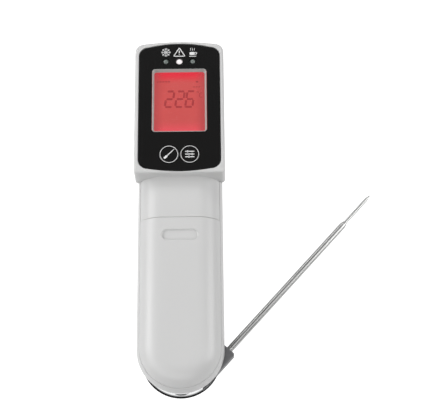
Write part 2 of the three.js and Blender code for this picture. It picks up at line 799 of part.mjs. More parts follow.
piece("board_connector", block(-7, 7, 98, 101, sensorTopZ, underBoardZ), "trayPlastic", display);

piece("sensor_board", sensorBoardSolid(), "greenBoard", eye);
piece("ir_barrel", irBarrel(), "blackChip", eye);
piece("ir_lens", irLens(), "lensPlastic", eye);
piece("ir_sensor", irSensor(), "steel", eye);
[["left", -1], ["right", 1]].forEach(([name, side]) =>
  piece(
    `aiming_led_${name}`,
    lampBody(side * snout.lampX, snout.y, sensorBoard.lowZ - gap, snout.tipZ + 6, snout.tipZ + 0.4, -1),
    "clear",
    eye,
  ),
);
piece("trigger", triggerSolid(), "greyTrigger", eye);
piece("trigger_switch", boardSwitch(0, trigger.ribY, sensorBoard.lowZ - gap - 3.9, 3.9), "blackChip", eye);
piece("trigger_spring", triggerSpring(), "steel", eye);

piece("battery_tray", batteryTray(), "trayPlastic", power);
piece("battery_left", cellBody(cell.leftX, 1), "cellWrap", power);
piece("battery_right", cellBody(cell.rightX, -1), "cellWrap", power);
piece("contact_spring_left", contactSpring(cell.leftX, tray.lowY + 1.5, 1), "steel", power);
piece("contact_spring_right", contactSpring(cell.rightX, tray.highY - 1.5, -1), "steel", power);
piece("contact_plate_left", contactPlate(cell.leftX, tray.highY - 2), "steel", power);
piece("contact_plate_right", contactPlate(cell.rightX, tray.lowY + 1.5), "steel", power);
const boardEndZ = underBoardZ - 0.8;
const trayLead = (x) => lead([[x, 23.4, 17], [x, 34, 17], [x, 46, 21], [x, 62, boardEndZ]], 12);
const hubLead = [[15, -38, 17.5], [15, -10, 17.5], [15, 20, 17.5], [15, 45, 18.5], [13, 62, boardEndZ]];
piece("battery_lead_red", trayLead(-4), "redWire", power);
piece("battery_lead_black", trayLead(-1), "blackWire", power);
piece("probe_lead", lead(hubLead, 16), "greyWire", power);

foldingProbe.position.set(pivot.x, pivot.y, 0);
foldingProbe.rotation.z = turn(-probe.outDeg);
piece("probe_hub", probeHub(), "hubPlastic", foldingProbe);
piece("probe_shaft", probeShaft(), "steel", foldingProbe);
piece("probe_tip", probeTip(), "steel", foldingProbe);
piece("pivot_pin", pivotPin(), "brassPin", casing);
piece("pivot_washer", pivotWasher(), "steel", casing);

export default thermometer;
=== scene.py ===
import bpy
import math
from mathutils import Matrix, Vector


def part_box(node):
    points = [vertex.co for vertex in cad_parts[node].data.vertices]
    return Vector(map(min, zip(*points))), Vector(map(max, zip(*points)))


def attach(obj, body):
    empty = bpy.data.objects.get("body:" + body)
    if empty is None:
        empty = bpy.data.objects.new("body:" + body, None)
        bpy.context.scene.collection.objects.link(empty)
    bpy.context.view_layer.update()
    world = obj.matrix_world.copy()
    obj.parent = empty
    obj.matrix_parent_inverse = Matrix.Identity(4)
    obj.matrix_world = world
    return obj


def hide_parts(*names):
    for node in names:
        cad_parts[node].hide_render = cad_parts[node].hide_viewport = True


# A food thermometer: white casing, black face with a red display, and a steel probe that folds out.
# Lengths in the dictionaries are millimetres in the part's own frame, unless a note says otherwise.
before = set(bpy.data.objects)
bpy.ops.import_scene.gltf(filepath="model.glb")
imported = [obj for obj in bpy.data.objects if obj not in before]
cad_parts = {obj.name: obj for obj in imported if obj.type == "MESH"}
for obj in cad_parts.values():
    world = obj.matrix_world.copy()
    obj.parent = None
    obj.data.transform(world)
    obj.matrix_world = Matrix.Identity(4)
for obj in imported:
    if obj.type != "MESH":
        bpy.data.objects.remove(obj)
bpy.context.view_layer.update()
scene = bpy.context.scene
mm = 0.001
for name in ("Cube", "Light", "Camera"):
    if name in bpy.data.objects:
        bpy.data.objects.remove(bpy.data.objects[name])


def nodeBox(node):
    low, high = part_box(node)
    return low / mm, high / mm


# Both corners of a node's box, and its centre in X and Y
def nodePlace(node):
    low, high = nodeBox(node)
    return low, high, (low.x + high.x) / 2, (low.y + high.y) / 2


frontLow, frontHigh = nodeBox("front_housing")
rearLow, rearHigh = nodeBox("rear_housing")
coverLow, coverHigh = nodeBox("battery_cover")
plateLow, plateHigh = nodeBox("face_plate")
print("frame loaded:", len(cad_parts), "nodes")

# Small helpers: picking, adding, cutting


def clearSelection():
    if bpy.context.object and bpy.context.object.mode != "OBJECT":
        bpy.ops.object.mode_set(mode="OBJECT")
    bpy.ops.object.select_all(action="DESELECT")


def takeUp(piece):
    clearSelection()
    piece.select_set(True)
    bpy.context.view_layer.objects.active = piece


def settle(piece):
    takeUp(piece)
    bpy.ops.object.transform_apply(location=True, rotation=True, scale=True)
    return piece


def addBlock(name, low, high):
    clearSelection()
    low, high = Vector(low) * mm, Vector(high) * mm
    bpy.ops.mesh.primitive_cube_add(size=1, location=(low + high) / 2)
    piece = bpy.context.object
    piece.name = name
    piece.scale = high - low
    return settle(piece)


def addRod(name, start, end, radius, sides=48, endRadius=None):
    clearSelection()
    start, end = Vector(start) * mm, Vector(end) * mm
    along = end - start
    bpy.ops.mesh.primitive_cone_add(
        vertices=sides,
        radius1=radius * mm,
        radius2=(radius if endRadius is None else endRadius) * mm,
        depth=along.length,
        location=(start + end) / 2,
        rotation=along.to_track_quat("Z", "Y").to_euler(),
    )
    piece = bpy.context.object
    piece.name = name
    return settle(piece)


def addPost(name, x, y, lowZ, highZ, radius, sides=48):
    return addRod(name, (x, y, lowZ), (x, y, highZ), radius, sides)


# A cutter wider than the whole object
def wideBlock(lowY, highY, lowZ, highZ):
    return addBlock("wide cutter", (-40, lowY, lowZ), (40, highY, highZ))


def combine(piece, tool, operation="DIFFERENCE", solver="EXACT"):
    takeUp(piece)
    cutter = piece.modifiers.new("combine", "BOOLEAN")
    cutter.operation = operation
    cutter.object = tool
    cutter.solver = solver
    bpy.ops.object.modifier_apply(modifier=cutter.name)
    bpy.data.objects.remove(tool)
    return piece


def carve(piece, *tools):
    for tool in tools:
        combine(piece, tool)
    return piece


def weld(piece, *tools):
    for tool in tools:
        combine(piece, tool, "UNION")
    return piece


def pickEdges(piece, wanted):
    mesh = piece.data
    bpy.context.tool_settings.mesh_select_mode = (False, True, False)
    for part in (mesh.polygons, mesh.edges, mesh.vertices):
        part.foreach_set("select", [False] * len(part))
    for edge in mesh.edges:
        a, b = (mesh.vertices[i].co / mm for i in edge.vertices)
        edge.select = wanted(a, b)


def bevelEdges(piece, wanted, width, segments=6):
    takeUp(piece)
    pickEdges(piece, wanted)
    bpy.ops.object.mode_set(mode="EDIT")
    bpy.ops.mesh.bevel(offset=width * mm, offset_type="OFFSET", segments=segments, affect="EDGES")
    bpy.ops.object.mode_set(mode="OBJECT")
    return piece


def isUpright(a, b):
    return abs(a.x - b.x) < 0.001 and abs(a.y - b.y) < 0.001


def atHeight(z):
    return lambda a, b: abs(a.z - z) < 0.005 and abs(b.z - z) < 0.005


def mergeDoubles(piece, distance=0.03):
    takeUp(piece)
    bpy.ops.object.mode_set(mode="EDIT")
    bpy.ops.mesh.select_all(action="SELECT")
    bpy.ops.mesh.remove_doubles(threshold=distance * mm)
    bpy.ops.mesh.normals_make_consistent(inside=False)
    bpy.ops.object.mode_set(mode="OBJECT")
    return piece


def softenEdges(piece, width=0.2, segments=2, angle=40):
    takeUp(piece)
    bevel = piece.modifiers.new("soft edges", "BEVEL")
    bevel.width = width * mm
    bevel.segments = segments
    bevel.limit_method = "ANGLE"
    bevel.angle_limit = math.radians(angle)
    bevel.harden_normals = False
    bpy.ops.object.modifier_apply(modifier=bevel.name)
    return piece


def joinPieces(name, pieces):
    clearSelection()
    for piece in pieces:
        piece.select_set(True)
    bpy.context.view_layer.objects.active = pieces[0]
    bpy.ops.object.join()
    pieces[0].name = name
    return pieces[0]


# Smooth shading whose big flat faces stay flat beside their softened edges
def smooth(piece, angle=35):
    takeUp(piece)
    bpy.ops.object.shade_smooth_by_angle(angle=math.radians(angle))
    flat = piece.modifiers.new("flat faces", "WEIGHTED_NORMAL")
    flat.keep_sharp = True
    flat.weight = 100
    bpy.ops.object.modifier_apply(modifier=flat.name)
    return piece


def finishPiece(piece, material, body, replaced=(), smoothAngle=35):
    settle(piece)
    smooth(piece, smoothAngle)
    piece.data.materials.clear()
    piece.data.materials.append(material)
    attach(piece, body)
    if replaced:
        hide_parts(*replaced)
    return piece


# Shader groups that several finishes share


def addNode(tree, kind, inputs=None, **settings):
    node = tree.nodes.new(kind)
    for key, value in settings.items():
        setattr(node, key, value)
    for key, value in (inputs or {}).items():
        node.inputs[key].default_value = value
    return node


def newGroup(name, inputs, outputs):
    group = bpy.data.node_groups.new(name, "ShaderNodeTree")
    for socketName, value in inputs.items():
        socket = group.interface.new_socket(socketName, in_out="INPUT", socket_type="NodeSocketFloat")
        socket.default_value = value
    for socketName, kind in outputs.items():
        group.interface.new_socket(socketName, in_out="OUTPUT", socket_type=kind)
    return group, group.nodes.new("NodeGroupInput"), group.nodes.new("NodeGroupOutput")


# Fine grain of a moulded skin, with a slow mottle in its colour and gloss
def makeMouldedGrain():
    group, given, result = newGroup(
        "moulded grain",
        {"Grain size": 3000, "Mottle size": 60},
        {"Height": "NodeSocketFloat", "Mottle": "NodeSocketFloat"},
    )
    place = addNode(group, "ShaderNodeTexCoord")
    grain = addNode(group, "ShaderNodeTexNoise", {"Detail": 3, "Roughness": 0.6})
    mottle = addNode(group, "ShaderNodeTexNoise", {"Detail": 4, "Roughness": 0.5})
    link = group.links.new
    link(place.outputs["Object"], grain.inputs["Vector"])
    link(place.outputs["Object"], mottle.inputs["Vector"])
    link(given.outputs["Grain size"], grain.inputs["Scale"])
    link(given.outputs["Mottle size"], mottle.inputs["Scale"])
    link(grain.outputs["Fac"], result.inputs["Height"])
    link(mottle.outputs["Fac"], result.inputs["Mottle"])
    return group


# Rubbed edges: a mask that is 1 on sharp outer edges, broken up by noise
def makeEdgeWear():
    group, given, result = newGroup("edge wear", {"Start": 0.53, "End": 0.62}, {"Mask": "NodeSocketFloat"})
    shape = addNode(group, "ShaderNodeNewGeometry")
    place = addNode(group, "ShaderNodeTexCoord")
    noise = addNode(group, "ShaderNodeTexNoise", {"Scale": 700, "Detail": 4})
    spread = addNode(group, "ShaderNodeMapRange")
    mask = addNode(group, "ShaderNodeMath", operation="MULTIPLY")
    link = group.links.new
    link(place.outputs["Object"], noise.inputs["Vector"])
    link(shape.outputs["Pointiness"], spread.inputs["Value"])
    link(given.outputs["Start"], spread.inputs["From Min"])
    link(given.outputs["End"], spread.inputs["From Max"])
    link(spread.outputs["Result"], mask.inputs[0])
    link(noise.outputs["Fac"], mask.inputs[1])
    link(mask.outputs["Value"], result.inputs["Mask"])
    return group


# Hair-fine scratches and specks in a gloss surface
def makeFineMarks():
    group, given, result = newGroup("fine marks", {"Size": 900}, {"Mask": "NodeSocketFloat"})
    place = addNode(group, "ShaderNodeTexCoord")
    stretch = addNode(group, "ShaderNodeMapping")
    stretch.inputs["Rotation"].default_value = (0, 0, 0.6)
    stretch.inputs["Scale"].default_value = (1, 0.06, 1)
    noise = addNode(group, "ShaderNodeTexNoise", {"Detail": 6, "Roughness": 0.7})
    sharpen = addNode(group, "ShaderNodeMapRange", {"From Min": 0.6, "From Max": 0.8})
    link = group.links.new
    link(place.outputs["Object"], stretch.inputs["Vector"])
    link(stretch.outputs["Vector"], noise.inputs["Vector"])
    link(given.outputs["Size"], noise.inputs["Scale"])
    link(noise.outputs["Fac"], sharpen.inputs["Value"])
    link(sharpen.outputs["Result"], result.inputs["Mask"])
    return group


mouldedGrain = makeMouldedGrain()
edgeWear = makeEdgeWear()
fineMarks = makeFineMarks()


def useGroup(tree, group, **values):
    node = tree.nodes.new("ShaderNodeGroup")
    node.node_tree = group
    for key, value in values.items():
        node.inputs[key.replace("_", " ")].default_value = value
    return node


def startMaterial(name, **sockets):
    material = bpy.data.materials.new(name)
    material.use_nodes = True
    shader = material.node_tree.nodes["Principled BSDF"]
    for key, value in sockets.items():
        shader.inputs[key.replace("_", " ")].default_value = value
    return material, material.node_tree, shader


def mixColours(tree, amount, first, second):
    mix = addNode(tree, "ShaderNodeMix", data_type="RGBA")
    mix.inputs["A"].default_value = (*first, 1) if len(first) == 3 else first
    mix.inputs["B"].default_value = (*second, 1) if len(second) == 3 else second
    tree.links.new(amount, mix.inputs["Factor"])
    return mix.outputs["Result"]


def stretchValue(tree, value, low, high, fromLow=0.3, fromHigh=0.7):
    limits = {"From Min": fromLow, "From Max": fromHigh, "To Min": low, "To Max": high}
    spread = addNode(tree, "ShaderNodeMapRange", limits)
    tree.links.new(value, spread.inputs["Value"])
    return spread.outputs["Result"]


def maths(tree, operation, *values):
    node = addNode(tree, "ShaderNodeMath", operation=operation)
    for given, socket in zip(values, node.inputs):
        if isinstance(given, (int, float)):
            socket.default_value = given
        else:
            tree.links.new(given, socket)
    return node.outputs["Value"]


def addBump(tree, shader, height, strength, depth):
    bump = addNode(tree, "ShaderNodeBump", {"Strength": strength, "Distance": depth * mm})
    tree.links.new(height, bump.inputs["Height"])
    tree.links.new(bump.outputs["Normal"], shader.inputs["Normal"])
    return bump


# A moulded or rubbery skin. The colours are linear; light is the colour of its paler patches
def mouldedFinish(name, dark, light, gloss, grainSize=3000, grainDepth=0.01, wornTo=None, **sockets):
    material, tree, shader = startMaterial(name, **sockets)
    grain = useGroup(tree, mouldedGrain, Grain_size=grainSize)
    colour = mixColours(tree, grain.outputs["Mottle"], dark, light)
    if wornTo:
        wear = useGroup(tree, edgeWear)
        worn = addNode(tree, "ShaderNodeMix", data_type="RGBA")
        worn.inputs["B"].default_value = (*wornTo, 1)
        tree.links.new(wear.outputs["Mask"], worn.inputs["Factor"])
        tree.links.new(colour, worn.inputs["A"])
        colour = worn.outputs["Result"]
    tree.links.new(colour, shader.inputs["Base Color"])
    roughness = stretchValue(tree, grain.outputs["Mottle"], gloss[0], gloss[1])
    tree.links.new(roughness, shader.inputs["Roughness"])
    addBump(tree, shader, grain.outputs["Height"], 0.25, grainDepth)
    return material


# Bare metal with drawn lines along its length or turned lines round it
def metalFinish(name, dark, light, gloss, lineScale, depth=0.004, **sockets):
    material, tree, shader = startMaterial(name, Metallic=1.0, **sockets)
    place = addNode(tree, "ShaderNodeTexCoord")
    turn = addNode(tree, "ShaderNodeMapping", vector_type="TEXTURE")
    turn.inputs["Rotation"].default_value = (0, 0, math.radians(-probeFold["restAngle"]))
    squeeze = addNode(tree, "ShaderNodeMapping")
    squeeze.inputs["Scale"].default_value = lineScale
    lines = addNode(tree, "ShaderNodeTexNoise", {"Scale": 1, "Detail": 5, "Roughness": 0.6})
    wear = useGroup(tree, edgeWear, Start=0.52, End=0.6)
    link = tree.links.new
    link(place.outputs["Object"], turn.inputs["Vector"])
    link(turn.outputs["Vector"], squeeze.inputs["Vector"])
    link(squeeze.outputs["Vector"], lines.inputs["Vector"])
    colour = mixColours(tree, lines.outputs["Fac"], dark, light)
    polished = addNode(tree, "ShaderNodeMix", data_type="RGBA")
    polished.inputs["B"].default_value = (*light, 1)
    link(wear.outputs["Mask"], polished.inputs["Factor"])
    link(colour, polished.inputs["A"])
    link(polished.outputs["Result"], shader.inputs["Base Color"])
    link(stretchValue(tree, lines.outputs["Fac"], gloss[0], gloss[1]), shader.inputs["Roughness"])
    addBump(tree, shader, lines.outputs["Fac"], 0.3, depth)
    return material


probeFold = {"restAngle": 42.5, "pivot": Vector((15.6, -43.6, 10.8))}  # degrees out from the folded place


# Finishes

casingWhite = mouldedFinish(
    "casing white plastic", (0.615, 0.615, 0.612), (0.63, 0.63, 0.627), (0.3, 0.33),
    wornTo=(0.67, 0.67, 0.665), IOR=1.5,
)
trayGrey = mouldedFinish(
    "tray grey plastic", (0.44, 0.44, 0.43), (0.50, 0.50, 0.49), (0.45, 0.6), grainDepth=0.03
)
frameGrey = mouldedFinish("display frame grey", (0.40, 0.405, 0.39), (0.46, 0.465, 0.45), (0.4, 0.5))
hubGrey = mouldedFinish(
    "probe hub grey", (0.125, 0.125, 0.13), (0.165, 0.165, 0.17), (0.38, 0.52),
    2200, 0.03, (0.24, 0.24, 0.25),
)
triggerRubber = mouldedFinish(
    "trigger soft rubber", (0.04, 0.042, 0.045), (0.06, 0.062, 0.066), (0.6, 0.75),
    1800, 0.06, (0.1, 0.1, 0.11),
)
sealRubber = mouldedFinish(
    "black rubber", (0.012, 0.012, 0.012), (0.025, 0.025, 0.025), (0.7, 0.85), 1800, 0.05
)
barrelBlack = mouldedFinish(
    "eye barrel black", (0.010, 0.010, 0.011), (0.02, 0.02, 0.021), (0.45, 0.6), 2400, 0.02
)
chipBlack = mouldedFinish(
    "chip black resin", (0.012, 0.012, 0.013), (0.03, 0.03, 0.031), (0.5, 0.65), 2600, 0.03
)
eyeLens = mouldedFinish(
    "infrared window", (0.07, 0.08, 0.09), (0.10, 0.11, 0.125), (0.22, 0.32), 900, 0.004
)
redWire = mouldedFinish("red wire", (0.35, 0.012, 0.012), (0.48, 0.03, 0.03), (0.4, 0.5))
blackWire = mouldedFinish("black wire", (0.008, 0.008, 0.008), (0.02, 0.02, 0.02), (0.4, 0.5))
greyWire = mouldedFinish("grey wire", (0.16, 0.16, 0.16), (0.22, 0.22, 0.22), (0.45, 0.55))
printWhite = mouldedFinish(
    "white print", (0.78, 0.78, 0.78), (0.86, 0.86, 0.86), (0.5, 0.6), 2600, 0.004
)

steelDrawn = metalFinish(
    "steel drawn along", (0.34, 0.34, 0.34), (0.56, 0.56, 0.55), (0.2, 0.38), (2600, 60, 2600)
)
steelTurned = metalFinish(
    "steel turned", (0.38, 0.38, 0.38), (0.58, 0.58, 0.58), (0.25, 0.4), (900, 900, 900)
)
springSteel = metalFinish(
    "spring wire", (0.40, 0.40, 0.41), (0.60, 0.60, 0.61), (0.18, 0.3), (500, 500, 500)
)
brassTurned = metalFinish(
    "turned brass", (0.50, 0.35, 0.14), (0.66, 0.50, 0.24), (0.2, 0.32), (900, 900, 900)
)
chromePlate = metalFinish(
    "bright chrome", (0.74, 0.75, 0.76), (0.82, 0.83, 0.84), (0.03, 0.07), (120, 120, 120), depth=0.001
)


def makeFaceBlack():
    material, tree, shader = startMaterial("face plate gloss black", IOR=1.42)
    grain = useGroup(tree, mouldedGrain, Grain_size=1500.0, Mottle_size=90.0)
    marks = useGroup(tree, fineMarks)
    tree.links.new(
        mixColours(tree, grain.outputs["Mottle"], (0.0062, 0.006, 0.006), (0.0082, 0.008, 0.008)),
        shader.inputs["Base Color"],
    )
    tree.links.new(stretchValue(tree, marks.outputs["Mask"], 0.16, 0.3, 0, 1), shader.inputs["Roughness"])
    addBump(tree, shader, grain.outputs["Height"], 0.1, 0.002)
    return material


faceBlack = makeFaceBlack()


def makeBoardGreen():
    material, tree, shader = startMaterial("circuit board green", IOR=1.5)
    place = addNode(tree, "ShaderNodeTexCoord")
    tracks = addNode(tree, "ShaderNodeTexBrick", {"Scale": 160, "Mortar Size": 0.03, "Brick Width": 0.9})
    tracks.inputs["Color1"].default_value = (0.012, 0.12, 0.04, 1)
    tracks.inputs["Color2"].default_value = (0.016, 0.15, 0.05, 1)
    tracks.inputs["Mortar"].default_value = (0.03, 0.24, 0.08, 1)
    grain = useGroup(tree, mouldedGrain, Grain_size=2400.0)
    tree.links.new(place.outputs["Object"], tracks.inputs["Vector"])
    tree.links.new(tracks.outputs["Color"], shader.inputs["Base Color"])
    tree.links.new(stretchValue(tree, grain.outputs["Mottle"], 0.28, 0.42), shader.inputs["Roughness"])
    addBump(tree, shader, tracks.outputs["Fac"], 0.3, 0.02)
    return material


boardGreen = makeBoardGreen()


# A printed sleeve with bare metal towards both ends
def makeCellSleeve():
    material, tree, shader = startMaterial("battery sleeve", IOR=1.5)
    low, high = nodeBox("battery_left")
    place = addNode(tree, "ShaderNodeTexCoord")
    split = addNode(tree, "ShaderNodeSeparateXYZ")
    band = addNode(tree, "ShaderNodeMapRange", interpolation_type="STEPPED")
    band.inputs["From Min"].default_value = low.y * mm
    band.inputs["From Max"].default_value = high.y * mm
    band.inputs["Steps"].default_value = 12
    ramp = addNode(tree, "ShaderNodeValToRGB")
    ramp.color_ramp.interpolation = "CONSTANT"
    ramp.color_ramp.elements[0].color = (0.42, 0.42, 0.43, 1)
    ramp.color_ramp.elements[1].position = 0.06
    ramp.color_ramp.elements[1].color = (0.03, 0.10, 0.30, 1)
    upper = ramp.color_ramp.elements.new(0.7)
    upper.color = (0.50, 0.33, 0.10, 1)
    grain = useGroup(tree, mouldedGrain, Grain_size=1800.0)
    link = tree.links.new
    link(place.outputs["Object"], split.inputs["Vector"])
    link(split.outputs["Y"], band.inputs["Value"])
    link(band.outputs["Result"], ramp.inputs["Fac"])
    link(ramp.outputs["Color"], shader.inputs["Base Color"])
    link(stretchValue(tree, grain.outputs["Mottle"], 0.22, 0.34), shader.inputs["Roughness"])
    addBump(tree, shader, grain.outputs["Height"], 0.1, 0.004)
    return material


cellSleeve = makeCellSleeve()


def makeClearPlastic(name, tint, roughness=0.02):
    material, tree, shader = startMaterial(name, Transmission_Weight=1.0, IOR=1.45)
    grain = useGroup(tree, mouldedGrain, Grain_size=700.0, Mottle_size=120.0)
    paler = [min(1.0, part * 1.02) for part in tint]
    tree.links.new(mixColours(tree, grain.outputs["Mottle"], tint, paler), shader.inputs["Base Color"])
    tree.links.new(
        stretchValue(tree, grain.outputs["Mottle"], roughness, roughness * 2), shader.inputs["Roughness"]
    )
    return material


windowClear = makeClearPlastic("display window clear", (0.97, 0.975, 0.975))
lampClear = makeClearPlastic("aiming lamp clear", (0.93, 0.95, 0.96), 0.05)

displayLook = {
    "middle": (0.65, 0.088, 0.084),
    "topBand": (0.82, 0.026, 0.052),
    "lowerGlow": (0.88, 0.086, 0.118),
    "side": (0.50, 0.062, 0.068),
    "marks": (0.40, 0.036, 0.040),
    "strength": 1.0,
}


# The lit display: redder along the top, pinker at the bottom middle, dimmer down both sides
def makeDisplayRed():
    low, high = nodeBox("lcd_bezel")
    material, tree, shader = startMaterial("display red", Roughness=0.35)
    shader.inputs["Emission Strength"].default_value = displayLook["strength"]
    shader.inputs["Base Color"].default_value = (0.05, 0.008, 0.008, 1)
    link = tree.links.new
    place = addNode(tree, "ShaderNodeTexCoord")
    split = addNode(tree, "ShaderNodeSeparateXYZ")
    link(place.outputs["Object"], split.inputs["Vector"])
    blotches = addNode(tree, "ShaderNodeTexNoise", {"Scale": 90, "Detail": 1})
    link(place.outputs["Object"], blotches.inputs["Vector"])

    up = addNode(tree, "ShaderNodeMapRange")
    up.inputs["From Min"].default_value = low.y * mm
    up.inputs["From Max"].default_value = high.y * mm
    link(split.outputs["Y"], up.inputs["Value"])
    ramp = addNode(tree, "ShaderNodeValToRGB")
    ramp.color_ramp.interpolation = "EASE"
    stops = ramp.color_ramp.elements
    stops[0].position = 0.0
    stops[0].color = (*displayLook["lowerGlow"], 1)
    stops[1].position = 0.95
    stops[1].color = (*displayLook["topBand"], 1)
    for position in (0.22, 0.8):
        stops.new(position).color = (*displayLook["middle"], 1)
    link(up.outputs["Result"], ramp.inputs["Fac"])

    across = maths(tree, "ABSOLUTE", split.outputs["X"])
    edge = addNode(tree, "ShaderNodeMapRange", interpolation_type="SMOOTHSTEP")
    edge.inputs["From Min"].default_value = 0.0075
    edge.inputs["From Max"].default_value = 0.0135
    edge.inputs["To Max"].default_value = 0.75
    link(across, edge.inputs["Value"])
    sideMix = addNode(tree, "ShaderNodeMix", data_type="RGBA")
    sideMix.inputs["B"].default_value = (*displayLook["side"], 1)
    link(edge.outputs["Result"], sideMix.inputs["Factor"])
    link(ramp.outputs["Color"], sideMix.inputs["A"])
    dim = addNode(tree, "ShaderNodeMix", data_type="RGBA", blend_type="MULTIPLY")
    dim.inputs["B"].default_value = (0.92, 0.86, 0.86, 1)
    link(blotches.outputs["Fac"], dim.inputs["Factor"])
    link(sideMix.outputs["Result"], dim.inputs["A"])
    link(dim.outputs["Result"], shader.inputs["Emission Color"])
    return material


def makeGlow(name, base, low, high, strength=1.0):
    material, tree, shader = startMaterial(name, Roughness=0.3)
    shader.inputs["Base Color"].default_value = (*base, 1)
    shader.inputs["Emission Strength"].default_value = strength
    grain = useGroup(tree, mouldedGrain, Mottle_size=900.0)
    tree.links.new(mixColours(tree, grain.outputs["Mottle"], low, high), shader.inputs["Emission Color"])
    return material


displayRed = makeDisplayRed()
displayMarks = makeGlow(
    "display marks", (0.02, 0.004, 0.004), displayLook["marks"], (0.43, 0.042, 0.045)
)
backlightRed = makeGlow("backlight red", (0.4, 0.05, 0.05), (0.7, 0.08, 0.08), (0.8, 0.1, 0.1), 0.6)
lampLit = makeGlow("warning lamp lit", (0.3, 0.3, 0.3), (0.72, 0.66, 0.675), (0.78, 0.72, 0.735))
lampDark = mouldedFinish(
    "lamp unlit", (0.125, 0.15, 0.14), (0.165, 0.19, 0.178), (0.12, 0.2), 1200, 0.002, Coat_Weight=0.5
)
print("finishes made")

# Casing

handle = {
    "halfWidth": 22.05,
    "endY": -34.8,  # centre of the half-round bottom end
    "crestZ": coverHigh.z,
    "frontRound": 13,
    "backRound": 8,
    "step": 2,  # the tub steps in below its rim
    "rimZ": 15.4,
    "wall": 2,
    "endSteps": 64,
    "roundSteps": 12,
}
head = {
    "halfWidth": frontHigh.x,
    "chinY": 53.3,
    "cornerY": 127.2,  # height of the top edge's corners; the middle rises by arch
    "arch": 1.2,
    "topCorner": 5,
    "footCorner": 1.6,
    "faceZ": frontHigh.z,
    "frontRound": 1.2,
    "backStep": 1.7,  # the back of the head is this much smaller all round
    "bandZ": 19.3,  # below a band at the parting plane
    "backCorner": 3,
    "backRound": 2,
}
gap = 0.3  # between pieces that touch


def arcPoints(x, y, radius, startAngle, endAngle, steps):
    angles = [math.radians(startAngle + (endAngle - startAngle) * i / steps) for i in range(steps + 1)]
    return [(x + radius * math.cos(angle), y + radius * math.sin(angle)) for angle in angles]


# Points along an edge at height y that rises by arch in the middle, from startX to -startX
def archPoints(startX, y, arch, steps=36):
    radius = (startX**2 + arch**2) / (2 * abs(arch))
    side = 1 if arch > 0 else -1
    xs = [startX * (1 - 2 * i / steps) for i in range(1, steps)]
    return [(x, y + arch - side * (radius - math.sqrt(radius**2 - x**2))) for x in xs]


# An upright solid from lowZ to highZ whose outline is the given points
def addOutline(name, points, lowZ, highZ):
    mesh = bpy.data.meshes.new(name)
    mesh.from_pydata([Vector((x, y, lowZ)) * mm for x, y in points], [], [list(range(len(points)))])
    piece = bpy.data.objects.new(name, mesh)
    bpy.context.collection.objects.link(piece)
    takeUp(piece)
    bpy.ops.object.mode_set(mode="EDIT")
    bpy.ops.mesh.select_all(action="SELECT")
    bpy.ops.mesh.extrude_region_move(TRANSFORM_OT_translate={"value": (0, 0, (highZ - lowZ) * mm)})
    bpy.ops.mesh.select_all(action="SELECT")
    bpy.ops.mesh.normals_make_consistent(inside=False)
    bpy.ops.object.mode_set(mode="OBJECT")
    return piece


# A solid with the handle's outline, drawn in by inset, with its front and back edges rounded
def handleBlank(name, inset, lowZ, highZ, topY, frontRound=0, backRound=0):
    half = handle["halfWidth"] - inset
    points = arcPoints(0, handle["endY"], half, 180, 360, handle["endSteps"])
    points += [(half, topY), (-half, topY)]
    piece = addOutline(name, points, lowZ, highZ)
    for z, width in ((highZ, frontRound), (lowZ, backRound)):
        if width:
            bevelEdges(piece, atHeight(z), width, handle["roundSteps"])
    return piece


# A block whose top edge, and bottom edge if asked, rises in a shallow arc between rounded corners
def archedBlock(name, low, high, topCorner, footCorner, topArch, footArch=0):
    half = high[0]
    topX, footX = half - topCorner, half - footCorner
    points = arcPoints(topX, high[1] - topCorner, topCorner, 0, 90, 10)
    points += archPoints(topX, high[1], topArch)
    points += arcPoints(-topX, high[1] - topCorner, topCorner, 90, 180, 10)
    points += arcPoints(-footX, low[1] + footCorner, footCorner, 180, 270, 8)
    if footArch:
        points += archPoints(-footX, low[1], -footArch)
    points += arcPoints(footX, low[1] + footCorner, footCorner, 270, 360, 8)
    return addOutline(name, points, low[2], high[2])


def headBlank(name, inset, lowZ, highZ, frontRound=0, backRound=0, leastCorner=0.8):
    piece = archedBlock(
        name,
        (-head["halfWidth"] + inset, head["chinY"] + inset, lowZ),
        (head["halfWidth"] - inset, head["cornerY"] - inset, highZ),
        max(head["topCorner"] - inset, leastCorner),
        max(head["footCorner"] - inset, leastCorner),
        head["arch"],
    )
    for z, width in ((highZ, frontRound), (lowZ, backRound)):
        if width:
            bevelEdges(piece, atHeight(z), width, 5)
    return piece


coverLook = {"seamSoft": 0.25, "recess": (9.4, 3.0, 0.9), "recessY": 21.8, "recessSoft": 0.75}


def capsule(name, centre, halfLength, radius, lowZ, highZ, steps=20):
    x, y = centre
    straight = halfLength - radius
    points = arcPoints(x + straight, y, radius, -90, 90, steps)
    points += arcPoints(x - straight, y, radius, 90, 270, steps)
    return addOutline(name, points, lowZ, highZ)


def makeBatteryCover():
    crest = handle["crestZ"]
    seamY = coverTopY
    cover = handleBlank("battery_cover_shell", 0, 0, crest, 60, handle["frontRound"])
    wall = handle["wall"]
    carve(cover, handleBlank("room", wall, -1, crest - wall, 61, handle["frontRound"] - 1.2))
    carve(cover, wideBlock(-80, 80, -5, coverLow.z))
    carve(cover, wideBlock(seamY, 80, -5, 40))
    softenEdges(cover, coverLook["seamSoft"], 3, 50)
    halfLength, radius, depth = coverLook["recess"]
    dent = capsule("dent", (0, coverLook["recessY"]), halfLength, radius, crest - depth, crest + 4)
    bevelEdges(dent, atHeight(crest - depth), coverLook["recessSoft"], 6)
    carve(cover, dent)
    tongue = addBlock("tongue", (-7, 26, 24.7), (7, coverHigh.y, 26.1))
    weld(cover, tongue, addBlock("root", (-6.9, 26.1, 25), (6.9, 30.4, 27)))
    return finishPiece(cover, casingWhite, "cover", ["battery_cover"])


coverTopY = frontLow.y - 0.12
makeBatteryCover()
print("battery cover made")

